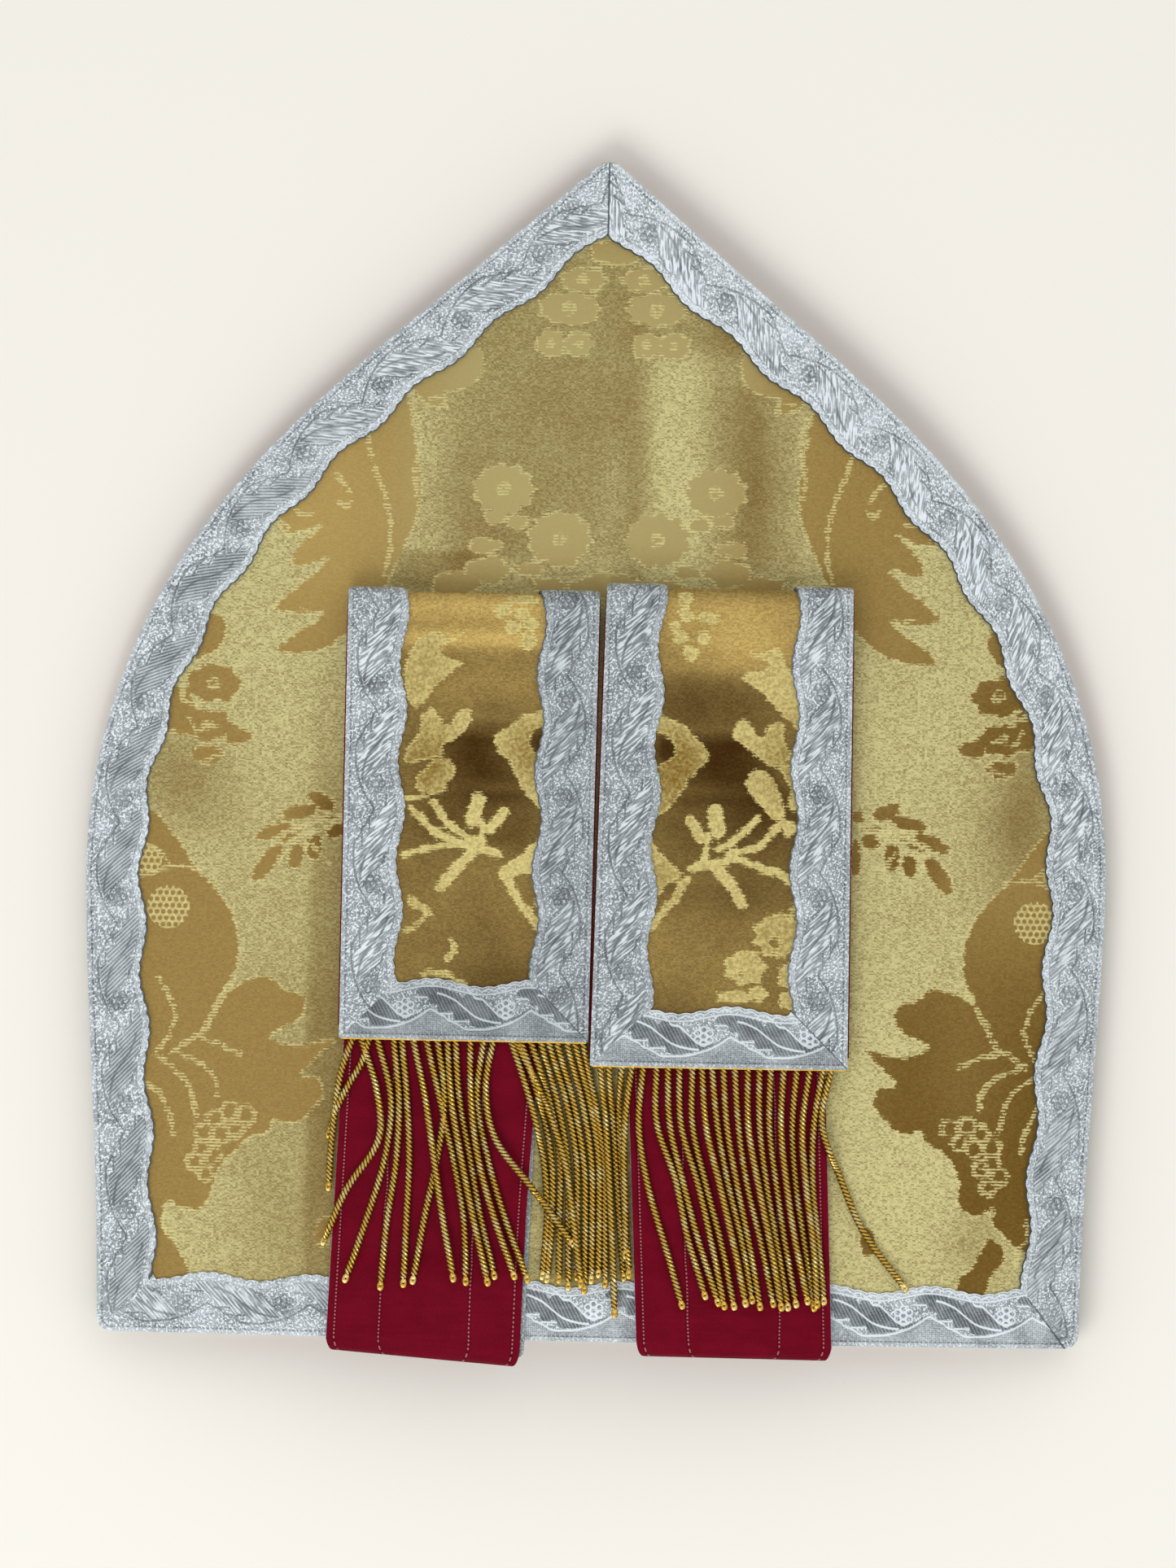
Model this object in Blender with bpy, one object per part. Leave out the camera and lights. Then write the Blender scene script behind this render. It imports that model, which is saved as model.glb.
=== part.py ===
"""A bishop's mitre, lying on its front as it is packed away: two pointed brocade shields joined
at the sides, a folded silk web between their horns, braid round each edge, and two fringed
lappets that come out of the rim, turn up over the back and fold down again.

X runs across, Y from the rim to the point of the horn, Z up from the surface it lies on."""

import math
from collections import namedtuple

import bmesh
import bpy
from mathutils import Vector

MM = 0.001  # the sizes below are millimetres, and each mesh is scaled to metres as it is made
GAP = 0.3  # between pieces that are sewn face to face

# The shield
HEIGHT = 361.6  # rim to the blunt tip of the horn
CORNER_RADIUS = 4.0  # the corners where the rim meets the sides
PANEL = 2.5  # brocade, stiffener and silk together
ARCH_RADIUS = 500.0  # of the back panel, across
SIDE_SEAM_TOP = 145.0  # the panels are sewn to each other up to here
HORNS_APART = 190.0  # and lie fully apart from here
DISH = 60.0  # how far in from its sides the front panel starts to curl up

# The braid
BRAID = 1.0
BRAID_WIDTH = 17.5
WAVE = 1.4  # of the scalloped inner edge
REPEAT = 31.5  # of the braid's figure, one wave long
STEPS_PER_REPEAT = 4
SIDE_SAMPLES = 400  # places tried for where the inner edge starts and ends
BASE = GAP + BRAID  # height of the front panel above the surface

# The web between the horns
WEB = 1.0
WEB_START = 180.0  # height of its two ends
WEB_DEPTH = 70.0  # of its inner crease below the tip
WEB_DROP = 5.0  # of the crease's ends below the web's ends
WEB_PINCH = 0.15  # share by which the crease is narrower than the shield
PINCHED_OVER = 110.0  # height over which it narrows, from the top of the side seams
WEB_INSET = 1.5  # from the panels' edges
WEB_PLEAT = 0.4  # between its two layers at the crease
CREASE_WALL = 0.1  # share of its depth that the crease's own wall takes up

# The lappets, in layers out from the brocade's surface
CLOTH = 1.2
LINING = 1.0
LAYERS_GAP = 0.5  # between layers that only lie on each other
ROOT = 18.0  # length sewn inside the rim
RIM_WRAP = 7.2  # height between the brocade's two legs where a lappet goes round the rim
RIM_BEND = 1.7  # radius of the brocade's surface at the two corners of that wrap
RIM_CLEAR = 1.6  # from the rim's edge to the brocade between those corners
FOLD_BEND = 5.0  # and where it turns down again
HUMP = 12.2  # height of the loose fold over the panel
STEP_DOWN_START = 2.0  # a lappet steps down off the rim's braid between these
STEP_DOWN_END = 10.0  # distances past its inner edge
LYING = BRAID + 2 * GAP + LAYERS_GAP / 2  # height of the turned-up brocade over the panel
OVER_BRAID = LYING + BRAID + 0.1  # and where it crosses the rim's braid
CLOTH_SHORT = 3.6  # the braid reaches this far past the cloth's end, over the fringe's heading

# The fringe
CORDS = 22
CORD = 2.4
CORD_LENGTH = 72.0
CORD_STEPS = 5
UNEVEN = 3.0  # in the cords' length
SWAY = 0.9  # of their lower ends
SWAY_EVERY = 8  # cords
OFF_BRAID_START = 3.0  # the cords come down off the rim's braid between these
OFF_BRAID_END = 12.0  # distances past its inner edge
HEADING = 3.0
HEADING_THICK = 1.6

Outline = namedtuple("Outline", "height half_width")
OUTLINE = [
    Outline(0.0, 150.6),
    Outline(40.0, 151.6),
    Outline(80.0, 153.8),
    Outline(120.0, 156.0),
    Outline(150.0, 156.4),
    Outline(175.0, 153.6),
    Outline(200.0, 147.0),
    Outline(225.0, 136.3),
    Outline(250.0, 120.8),
    Outline(275.0, 99.8),
    Outline(300.0, 73.6),
    Outline(325.0, 44.4),
    Outline(350.0, 15.4),
    Outline(HEIGHT, 2.0),
]

Ridge = namedtuple("Ridge", "height outside")  # the back panel's middle, above the surface
RIDGE = [
    Ridge(0.0, 36.0),
    Ridge(80.0, 35.1),
    Ridge(145.0, 34.3),
    Ridge(185.0, 32.9),
    Ridge(225.0, 29.5),
    Ridge(265.0, 23.8),
    Ridge(300.0, 18.4),
    Ridge(330.0, 14.5),
    Ridge(HEIGHT, 12.0),
]

PANEL_HEIGHTS = [0, 1.2, 4, 26, 50, 75, 100, 125, SIDE_SEAM_TOP, 156, 167, 178, HORNS_APART,
                 210, 230, 250, 268, 286, 303, 320, 336, 350, HEIGHT]
PANEL_SHARES = [0, 0.13, 0.27, 0.41, 0.55, 0.7, 0.85, 1]  # of the half width, middle to side

Lappet = namedtuple("Lappet", "name fold end slant edges")  # slant: rim fold, left to right edge
Edges = namedtuple("Edges", "place left right")
LAPPETS = [
    Lappet("left", 228.5, 91.6, 4.0, [
        Edges("root", -80.6, -20.2),
        Edges("rim", -80.4, -19.6),
        Edges("beside the end", -76.3, -16.5),
        Edges("fold", -77.3, -0.2),
        Edges("end", -77.7, -1.5),
    ]),
    Lappet("right", 231.0, 84.6, 0.5, [
        Edges("root", 15.6, 75.4),
        Edges("rim", 15.4, 75.2),
        Edges("beside the end", 10.8, 71.3),
        Edges("fold", 2.2, 77.0),
        Edges("end", -0.8, 78.0),
    ]),
]

Slack = namedtuple("Slack", "before_turn lift")  # the upper layer's loose fold, 1 at its top
SLACK = [
    Slack(9.0, 1.0),
    Slack(19.0, 0.7),
    Slack(31.0, 0.24),
    Slack(44.0, 0.0),
]

Finish = namedtuple("Finish", "colour roughness metallic")
FINISHES = {
    "brocade": Finish((0.42, 0.26, 0.08), 0.5, 0.25),
    "braid": Finish((0.55, 0.57, 0.58), 0.4, 0.5),
    "silk": Finish((0.21, 0.008, 0.02), 0.55, 0.0),
    "cord": Finish((0.62, 0.4, 0.12), 0.4, 0.5),
}


# ---- curves ----

def smooth(table, at):
    """The value at a place on the cubic curve through a table's rows."""
    rows = [tuple(row) for row in table]
    rises = [(b[1] - a[1]) / (b[0] - a[0]) for a, b in zip(rows, rows[1:])]
    slopes = [rises[0]] + [(a + b) / 2 for a, b in zip(rises, rises[1:])] + [rises[-1]]
    k = max(i for i in range(len(rises)) if i == 0 or rows[i][0] <= at)
    span = rows[k + 1][0] - rows[k][0]
    t = (at - rows[k][0]) / span
    start, end = rows[k][1], rows[k + 1][1]
    bend = t * (1 - t) * span * ((1 - t) * slopes[k] - t * slopes[k + 1])
    return start + (end - start) * t * t * (3 - 2 * t) + bend


def ease(low, high, at):
    """0 up to low, 1 from high, and a smooth step between."""
    t = min(max((at - low) / (high - low), 0.0), 1.0)
    return t * t * (3 - 2 * t)


def mix(a, b, t):
    return a + (b - a) * t


def even(low, high, count):
    """count + 1 values, evenly from low to high."""
    return [mix(low, high, i / count) for i in range(count + 1)]


class Line:
    """A bent line in a plane, walked by the distance from its start."""

    def __init__(self, points):
        self.points = [Vector(p) for p in points]
        self.marks = [0.0]
        for a, b in zip(self.points, self.points[1:]):
            self.marks.append(self.marks[-1] + (b - a).length)
        self.length = self.marks[-1]

    def leg(self, distance):
        legs = range(len(self.points) - 1)
        return max(i for i in legs if i == 0 or self.marks[i] <= distance + 1e-9)

    def at(self, distance):
        i = self.leg(distance)
        share = (distance - self.marks[i]) / (self.marks[i + 1] - self.marks[i])
        return self.points[i].lerp(self.points[i + 1], share)

    def heading(self, distance):
        """The direction of travel, averaged where two legs meet."""
        i = self.leg(distance)
        way = (self.points[i + 1] - self.points[i]).normalized()
        if i > 0 and abs(distance - self.marks[i]) < 1e-6:
            way += (self.points[i] - self.points[i - 1]).normalized()
        return way.normalized()


# ---- the shields' surfaces ----

def half_width(y):
    """Half the shield's width at a height above the rim, with its lower corners rounded."""
    reach = max(CORNER_RADIUS - y, 0.0)
    return smooth(OUTLINE, y) - CORNER_RADIUS + math.sqrt(CORNER_RADIUS**2 - reach**2)


def on_shield(y):
    return min(max(y, 0.0), HEIGHT)


def back_outside(x, y):
    """Height of the back panel's brocade, an arch that follows the ridge."""
    return smooth(RIDGE, on_shield(y)) - x * x / (2 * ARCH_RADIUS)


def front_under(x, y):
    """Height of the front panel's brocade, flat, and curled up at the sides to meet the back."""
    width = smooth(OUTLINE, y)
    seam = back_outside(width, y) - 2 * PANEL - GAP - BASE
    lift = seam * (1 - ease(SIDE_SEAM_TOP, HORNS_APART, y))
    curl = max(1 - (width - abs(x)) / DISH, 0.0)
    return BASE + lift * curl * curl


# ---- making the solids ----

def material(finish):
    if finish in bpy.data.materials:
        return bpy.data.materials[finish]
    made = bpy.data.materials.new(finish)
    made.use_nodes = True
    shader = made.node_tree.nodes["Principled BSDF"]
    values = FINISHES[finish]
    shader.inputs["Base Color"].default_value = (*values.colour, 1.0)
    shader.inputs["Roughness"].default_value = values.roughness
    shader.inputs["Metallic"].default_value = values.metallic
    return made


def finished(name, bm, finish):
    """The object of a modelled solid, in metres."""
    bmesh.ops.recalc_face_normals(bm, faces=bm.faces)
    bmesh.ops.scale(bm, vec=(MM, MM, MM), verts=bm.verts)
    mesh = bpy.data.meshes.new(name)
    bm.to_mesh(mesh)
    bm.free()
    mesh.materials.append(material(finish))
    mesh.shade_smooth()
    mesh.set_sharp_from_angle(angle=math.radians(35))
    made = bpy.data.objects.new(name, mesh)
    bpy.context.collection.objects.link(made)
    return made


def cloth(name, rows, columns, place, finish, closed=False):
    """A closed sheet: place(row, column, side) gives each point, on side 0 and on side 1."""
    bm = bmesh.new()
    row_of = bm.verts.layers.int.new("row")
    column_of = bm.verts.layers.int.new("column")
    side_of = bm.verts.layers.int.new("side")
    bmesh.ops.create_grid(bm, x_segments=columns, y_segments=rows, size=0.5)
    for v in bm.verts:
        v[row_of] = round((v.co.y + 0.5) * rows)
        v[column_of] = round((v.co.x + 0.5) * columns)
        v.co = place(v[row_of], v[column_of], 0)
    if closed:
        bmesh.ops.remove_doubles(bm, verts=bm.verts, dist=0.001)
    grown = bmesh.ops.extrude_face_region(bm, geom=bm.faces[:], use_keep_orig=True)
    for v in grown["geom"]:
        if isinstance(v, bmesh.types.BMVert):
            v[side_of] = 1
    for v in bm.verts:
        v.co = place(v[row_of], v[column_of], v[side_of])
    return finished(name, bm, finish)


# ---- the shields ----

def make_panel(name, bottom):
    shares = [-s for s in reversed(PANEL_SHARES[1:])] + PANEL_SHARES

    def place(row, column, side):
        y = PANEL_HEIGHTS[row]
        x = shares[column] * half_width(y)
        return Vector((x, y, bottom(x, y) + PANEL * side))

    return cloth(name, len(PANEL_HEIGHTS) - 1, len(shares) - 1, place, "brocade")


def side_line():
    """The shield's right side, from the rim to the tip."""
    heights = even(0, CORNER_RADIUS, 6) + even(CORNER_RADIUS, HEIGHT, 120)[1:]
    return Line([(half_width(y), y) for y in heights])


def inset(line, distance, width):
    way = line.heading(distance)
    return line.at(distance) + width * Vector((-way.y, way.x))


def braid_sections():
    """Pairs of points across the braid, outer and inner, once round the shield."""
    line = side_line()
    inner = [inset(line, d, BRAID_WIDTH) for d in even(0, line.length, SIDE_SAMPLES)]
    inside = [i for i, p in enumerate(inner) if p.y >= BRAID_WIDTH and p.x >= 0]
    start, end = (line.length * i / SIDE_SAMPLES for i in (inside[0], inside[-1]))
    repeats = round((end - start) / REPEAT)
    steps = repeats * STEPS_PER_REPEAT
    side = []
    for k in range(steps + 1):
        width = BRAID_WIDTH + WAVE * math.sin(2 * math.pi * k / STEPS_PER_REPEAT)
        side.append((line.at(line.length * k / steps), inset(line, mix(start, end, k / steps), width)))
    tip_outer, tip_inner = side[-1]
    side[-1] = (Vector((0, tip_outer.y)), Vector((0, tip_inner.y)))
    corner_outer, corner_inner = side[0]
    corner_inner.y = BRAID_WIDTH
    repeats = round(2 * corner_inner.x / REPEAT)
    steps = repeats * STEPS_PER_REPEAT
    rim = []
    for k in range(1, steps):
        share = 1 - 2 * k / steps
        width = BRAID_WIDTH + WAVE * math.sin(2 * math.pi * k / STEPS_PER_REPEAT)
        rim.append((Vector((-share * corner_outer.x, 0)), Vector((-share * corner_inner.x, width))))
    mirrored = [tuple(Vector((-p.x, p.y)) for p in pair) for pair in reversed(side[:-1])]
    return side + mirrored + rim + side[:1]


def make_braid(name, surface, outwards):
    sections = braid_sections()

    def place(row, column, side):
        x, y = sections[row][column]
        return Vector((x, y, surface(x, y) + outwards * (GAP + BRAID * side)))

    return cloth(name, len(sections) - 1, 1, place, "braid", closed=True)


def make_web():
    """Silk from the back horn's edge in to a crease and out to the front horn's edge."""
    heights = [y for y in PANEL_HEIGHTS if y >= HORNS_APART]
    climb = [(half_width(y), y) for y in [WEB_START] + heights[:-1]]
    edge = climb + [(0.0, HEIGHT)] + [(-x, y) for x, y in reversed(climb)]
    crease_top = HEIGHT - WEB_DEPTH
    stretch = (crease_top - WEB_START) / (HEIGHT - WEB_START)
    back_edge, back_crease, front_crease, front_edge = range(4)

    def place(row, column, side):
        x, y = edge[row]
        away = ease(SIDE_SEAM_TOP, SIDE_SEAM_TOP + PINCHED_OVER, y)
        crease = Vector((x * (1 - WEB_PINCH * away), mix(WEB_START - WEB_DROP, y, stretch)))
        start = Vector((x, y)).lerp(crease, WEB_INSET / (Vector((x, y)) - crease).length)
        low = front_under(*start) + PANEL + LAYERS_GAP
        high = back_outside(*start) - PANEL - LAYERS_GAP
        if column == back_edge:
            return Vector((*start, high - WEB * side))
        if column == front_edge:
            return Vector((*start, low + WEB * side))
        inner = crease if side == 0 else crease.lerp(start, CREASE_WALL)
        bed = front_under(*inner) + PANEL + LAYERS_GAP
        lift = {(back_crease, 0): 2 * WEB + WEB_PLEAT, (back_crease, 1): WEB + WEB_PLEAT,
                (front_crease, 0): 0.0, (front_crease, 1): WEB}
        return Vector((*inner, bed + lift[column, side]))

    return cloth("crown_web", len(edge) - 1, front_edge, place, "silk")


# ---- the lappets ----

def bend(centre, radius, start, turn, steps):
    """Points round an arc, in degrees, after its first."""
    angles = [math.radians(start + turn * k / steps) for k in range(1, steps + 1)]
    return [(centre[0] + radius * math.cos(a), centre[1] + radius * math.sin(a)) for a in angles]


class LappetCloth:
    """One lappet's brocade surface: a path of (y, height over the back panel) from its root inside
    the rim to its end, and its two edges in x along the path."""

    def __init__(self, lappet):
        self.name, self.end = lappet.name, lappet.end
        fold = lappet.fold
        under = OVER_BRAID - RIM_WRAP
        turn = fold - FOLD_BEND
        resting = LYING + CLOTH + LINING + GAP + LAYERS_GAP + LINING + GAP + CLOTH
        off_braid = BRAID_WIDTH + STEP_DOWN_END
        lower = [(y, LYING) for y in even(off_braid, turn, 7)]
        hump = [(turn - row.before_turn, mix(resting, HUMP, row.lift)) for row in SLACK]
        upper = [(y, resting) for y in even(hump[-1][0], lappet.end, 3)[1:]]
        corner = RIM_BEND - RIM_CLEAR
        up_and_over = bend((corner, under + RIM_BEND), RIM_BEND, -90, -90, 3)
        up_and_over += [(-RIM_CLEAR, OVER_BRAID - RIM_WRAP / 2)]
        up_and_over += bend((corner, OVER_BRAID - RIM_BEND), RIM_BEND, -180, -90, 3)
        down_again = bend((turn, LYING + FOLD_BEND), FOLD_BEND, -90, 180, 6)
        first = [(ROOT, under), (corner, under)]
        points = first + up_and_over + [(BRAID_WIDTH + STEP_DOWN_START, OVER_BRAID)] + lower + down_again
        self.lower_turn = len(points) - 1
        self.line = Line(points + hump + upper)
        self.resting = resting
        marks = self.line.marks
        self.slant = lappet.slant
        self.wrapped, self.squared = (marks[len(first + up_and_over) + k] for k in (-1, 0))
        beside = self.squared + lappet.end - BRAID_WIDTH - STEP_DOWN_START
        places = [0, marks[5], beside, marks[self.lower_turn - 3], self.line.length]
        self.left = [(s, row.left) for s, row in zip(places, lappet.edges)]
        self.right = [(s, row.right) for s, row in zip(places, lappet.edges)]

    def edge(self, table, distance):
        k = max(i for i in range(len(table) - 1) if i == 0 or table[i][0] <= distance)
        (a, low), (b, high) = table[k], table[k + 1]
        return mix(low, high, (distance - a) / (b - a))

    def across(self, distance, share):
        return mix(self.edge(self.left, distance), self.edge(self.right, distance), share)

    def point(self, x, distance, out):
        """out is the height over the brocade, negative towards the lining."""
        y, height = self.line.at(distance)
        way = self.line.heading(distance)
        y, height = y + out * way.y, height - out * way.x
        left, right = (self.across(distance, share) for share in (0, 1))
        pulled = 1 - ease(self.wrapped, self.squared, distance)
        y -= self.slant * pulled * (x - left) / (right - left)
        return Vector((x, y, back_outside(x, y) + height))


def make_layer(lappet, name, finish, outer, thickness, columns=3):
    """The brocade or its lining, from the root to just short of the end."""
    stop = lappet.line.length - CLOTH_SHORT
    stations = [s for s in lappet.line.marks if s < stop - 1] + [stop]

    def place(row, column, side):
        s = stations[row]
        return lappet.point(lappet.across(s, column / columns), s, outer - thickness * side)

    return cloth(name, len(stations) - 1, columns, place, finish)


def make_lappet_braid(lappet):
    """Braid down the left edge, across the end and up the right edge, cut square in hidden parts."""
    length = lappet.line.length
    turn = length - BRAID_WIDTH
    shown = lappet.line.marks[lappet.lower_turn + 4]
    repeats = round((turn - shown) / REPEAT)
    waves = even(shown, turn, repeats * STEPS_PER_REPEAT)
    stations = [s for s in lappet.line.marks if s < shown - 1] + waves

    def inner_width(s):
        share = (s - shown) / (turn - shown) if s > shown else 0.0
        return BRAID_WIDTH + WAVE * math.sin(2 * math.pi * repeats * share)

    left = [((lappet.across(s, 0), s), (lappet.across(s, 0) + inner_width(s), s)) for s in stations]
    right = [((lappet.across(s, 1), s), (lappet.across(s, 1) - inner_width(s), s)) for s in stations]
    corners = [((lappet.across(length, share), length), (lappet.across(turn, share) + step, turn))
               for share, step in ((0, BRAID_WIDTH), (1, -BRAID_WIDTH))]
    band = []
    for k in range(1, STEPS_PER_REPEAT + 1):
        share = k / (STEPS_PER_REPEAT + 1)
        depth = WAVE * math.sin(2 * math.pi * share)
        band.append(((mix(corners[0][0][0], corners[1][0][0], share), length),
                     (mix(corners[0][1][0], corners[1][1][0], share), turn - depth)))
    sections = left[:-1] + corners[:1] + band + corners[1:] + right[-2::-1]

    def place(row, column, side):
        x, s = sections[row][column]
        return lappet.point(x, s, GAP + BRAID * side)

    return cloth(f"{lappet.name}_lappet_braid", len(sections) - 1, 1, place, "braid")


def cord_bed(lappet, x, y):
    """Height over the back panel of what a fringe cord lies on."""
    start = BRAID_WIDTH + OFF_BRAID_START
    over_braid = (OVER_BRAID - LYING) * (1 - ease(start, BRAID_WIDTH + OFF_BRAID_END, y))
    rows = lappet.left[1][1], lappet.left[2][1], lappet.right[1][1], lappet.right[2][1]
    on_cloth = min(rows[:2]) - CORD < x < max(rows[2:]) + CORD
    return over_braid + (LYING + CLOTH + GAP + LINING if on_cloth else BRAID * (y < start))


def make_fringe(lappet):
    """A heading under the braid's edge, with cords drawn out of it that lie down the back."""
    ends = [lappet.across(lappet.line.length, share) for share in (0, 1)]
    pitch = (ends[1] - ends[0]) / CORDS
    edges = [ends[0] + pitch * (i + 0.5) + side * CORD / 2 for i in range(CORDS) for side in (-1, 1)]
    heading_top = lappet.resting

    bm = bmesh.new()
    bmesh.ops.create_grid(bm, x_segments=len(edges) - 1, y_segments=1, size=0.5)
    for v in bm.verts:
        x = edges[round((v.co.x + 0.5) * (len(edges) - 1))]
        height = heading_top - (HEADING_THICK if v.co.y < 0 else 0.0)
        v.co = (x, lappet.end, back_outside(x, lappet.end) + height)
    fronts = sorted(bm.faces, key=lambda f: f.calc_center_median().x)
    cords = fronts[::2]
    grown = bmesh.ops.extrude_face_region(bm, geom=bm.faces[:], use_keep_orig=True)
    behind = [v for v in grown["geom"] if isinstance(v, bmesh.types.BMVert)]
    bmesh.ops.translate(bm, vec=(0, HEADING, 0), verts=behind)

    for step in range(1, CORD_STEPS + 1):
        share = step / CORD_STEPS
        cords = bmesh.ops.extrude_discrete_faces(bm, faces=cords)["faces"]
        cords.sort(key=lambda f: f.calc_center_median().x)
        for i, face in enumerate(cords):
            length = CORD_LENGTH + UNEVEN * math.sin(2.3 * i)
            x = ends[0] + pitch * (i + 0.5) + SWAY * math.sin(2 * math.pi * i / SWAY_EVERY) * share
            y = lappet.end - length * share
            bed = back_outside(x, y) + cord_bed(lappet, x, y) + LAYERS_GAP
            middle = face.calc_center_median()
            for v in face.verts:
                right, upper = v.co.x > middle.x, v.co.z > middle.z
                v.co = (x + (CORD if right else -CORD) / 2, y, bed + (CORD if upper else 0))
    return finished(f"{lappet.name}_fringe", bm, "cord")


def make_lappet(lappet):
    name = f"{lappet.name}_lappet"
    return [
        make_layer(lappet, name, "brocade", 0.0, CLOTH),
        make_layer(lappet, f"{name}_lining", "silk", -CLOTH - GAP, LINING),
        make_lappet_braid(lappet),
        make_fringe(lappet),
    ]


def centre_on_box(objects):
    """The origin goes to the middle of the whole part, on the surface it lies on."""
    corners = [v.co for made in objects for v in made.data.vertices]
    low, high = (Vector([pick(c[k] for c in corners) for k in range(3)]) for pick in (min, max))
    shift = -(low + high) / 2
    shift.z = -low.z
    for made in objects:
        for v in made.data.vertices:
            v.co += shift


def main():
    for old in list(bpy.data.objects):
        bpy.data.objects.remove(old, do_unlink=True)
    made = [
        make_panel("back_panel", lambda x, y: back_outside(x, y) - PANEL),
        make_panel("front_panel", front_under),
        make_braid("back_braid", back_outside, 1),
        make_braid("front_braid", front_under, -1),
        make_web(),
    ]
    for lappet in LAPPETS:
        made += make_lappet(LappetCloth(lappet))
    centre_on_box(made)
    for piece in made:
        low, high = (
            [round(1000 * pick(v.co[k] for v in piece.data.vertices), 2) for k in range(3)]
            for pick in (min, max)
        )
        triangles = sum(len(p.vertices) - 2 for p in piece.data.polygons)
        print(f"{piece.name}: {triangles} triangles, {low} to {high} mm")


main()
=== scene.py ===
# %% [markdown]
# # A bishop's mitre, packed flat
# A mitre is two stiff pointed shields, sewn to each other up their sides, with a folded silk web
# between the two horns. This one lies on its front. Two lappets hang from the back rim of a worn
# mitre; here they come out under the rim, turn up over the back, and fold down again.
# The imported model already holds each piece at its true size. This script keeps those places and
# makes the cloth, the braid and the cords that a tailor would use.

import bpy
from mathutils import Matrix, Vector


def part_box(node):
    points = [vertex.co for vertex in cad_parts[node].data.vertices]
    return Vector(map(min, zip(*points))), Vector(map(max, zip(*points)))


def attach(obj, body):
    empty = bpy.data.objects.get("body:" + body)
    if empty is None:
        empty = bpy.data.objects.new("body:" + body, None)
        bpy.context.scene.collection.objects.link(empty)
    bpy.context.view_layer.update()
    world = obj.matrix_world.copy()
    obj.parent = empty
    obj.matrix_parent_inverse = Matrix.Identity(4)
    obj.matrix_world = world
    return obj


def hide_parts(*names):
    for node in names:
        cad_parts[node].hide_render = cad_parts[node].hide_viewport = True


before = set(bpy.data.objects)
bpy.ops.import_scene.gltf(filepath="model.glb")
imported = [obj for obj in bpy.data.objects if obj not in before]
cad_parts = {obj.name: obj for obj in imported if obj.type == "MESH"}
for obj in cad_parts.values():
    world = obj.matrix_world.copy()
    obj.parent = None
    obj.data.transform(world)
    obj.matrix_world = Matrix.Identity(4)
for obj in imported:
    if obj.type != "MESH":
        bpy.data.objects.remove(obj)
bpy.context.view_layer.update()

# %% What the script needs
import math
from collections import namedtuple

import bmesh
import bpy
import numpy as np
from mathutils import Matrix, Vector

# %% [markdown]
# ## Two ways to measure
# A cutter works in millimetres from the middle of the rim: x across, y up towards the point and
# z above the table. The model is in metres, with its origin in the middle of the whole thing.
# All shapes below are worked out in the cutter's millimetres and changed over once, at the end of
# each piece, so the numbers stay the ones that a ruler would give.

# %% From the cutter's millimetres to the model's metres
MM = 0.001
RIM_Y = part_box("back_panel")[0].y / MM  # the rim, seen from the model's origin


def settle(mesh):
    """Moves a mesh from the cutter's millimetres to its place in the model."""
    points = np.empty(3 * len(mesh.vertices), np.float32)
    mesh.vertices.foreach_get("co", points)
    points = points.reshape(-1, 3) + np.array([0, RIM_Y, 0], np.float32)
    mesh.vertices.foreach_set("co", (points * MM).ravel())
    mesh.update()


print(f"the rim lies {-RIM_Y:.1f} mm before the origin")

# %% [markdown]
# ## The camera, the table and the light
# The mitre was looked at from straight above, turned by about one degree. A long lens far away
# keeps the raised lappets in the same scale as the flat rim, so sizes can be compared anywhere.

# %% The camera
VIEW_HEIGHT = 0.48175  # how much of the table the picture's long side takes in
LOOK_AT = Vector((-3.0, RIM_Y + 170.6, 12.0)) * MM
CAMERA_UP = 6.0
CAMERA_TURN = math.radians(1.1)
SENSOR = 36.0

camera_data = bpy.data.cameras.new("camera")
camera_data.sensor_width = SENSOR
camera_data.lens = SENSOR * CAMERA_UP / VIEW_HEIGHT
camera = bpy.data.objects.new("camera", camera_data)
camera.location = LOOK_AT + Vector((0, 0, CAMERA_UP))
camera.rotation_euler = (0, 0, CAMERA_TURN)
bpy.context.collection.objects.link(camera)
bpy.context.scene.camera = camera
bpy.context.scene.view_settings.view_transform = "Standard"
print(f"lens {camera_data.lens:.0f} mm")

# %% [markdown]
# Cloth that is woven with metal thread looks flat under even light. One large soft lamp stands
# over the rim's end of the table, so that folds are lit on one side and shaded on the other. A
# weaker one behind the point and a pale sky fill the shadows.

# %% Lamps and sky
SKY = (1.0, 0.995, 0.985, 1.0)
SKY_STRENGTH = 0.63


def lamp(name, place, size, power):
    """A square soft lamp that faces the middle of the mitre."""
    data = bpy.data.lights.new(name, "AREA")
    data.size = size
    data.energy = power
    made = bpy.data.objects.new(name, data)
    made.location = place
    made.rotation_euler = (-Vector(place)).to_track_quat("-Z", "Y").to_euler()
    bpy.context.collection.objects.link(made)


lamp("window", (-0.35, -0.9, 1.5), size=0.9, power=11.0)
lamp("ceiling", (0.3, 0.5, 1.8), size=1.4, power=4.2)
sky = bpy.data.worlds.new("sky")
sky.use_nodes = True
background = sky.node_tree.nodes["Background"].inputs
background["Color"].default_value = SKY
background["Strength"].default_value = SKY_STRENGTH
bpy.context.scene.world = sky
print("two lamps and a pale sky")

# %% [markdown]
# ## Writing finishes as sums
# A woven finish is arithmetic: stripes are a sine, a thread is a distance, a weave is stripes
# times stripes. Blender does that arithmetic with Math nodes. Placing them by hand hides the sum,
# so a small class lets a wire be added, multiplied and compared like a number.

# %% A wire that can be calculated with


def forward(operation):
    """A Math node's operation as a method of its first number."""
    return lambda wire, *others: wire.math(operation, wire, *others)


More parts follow.
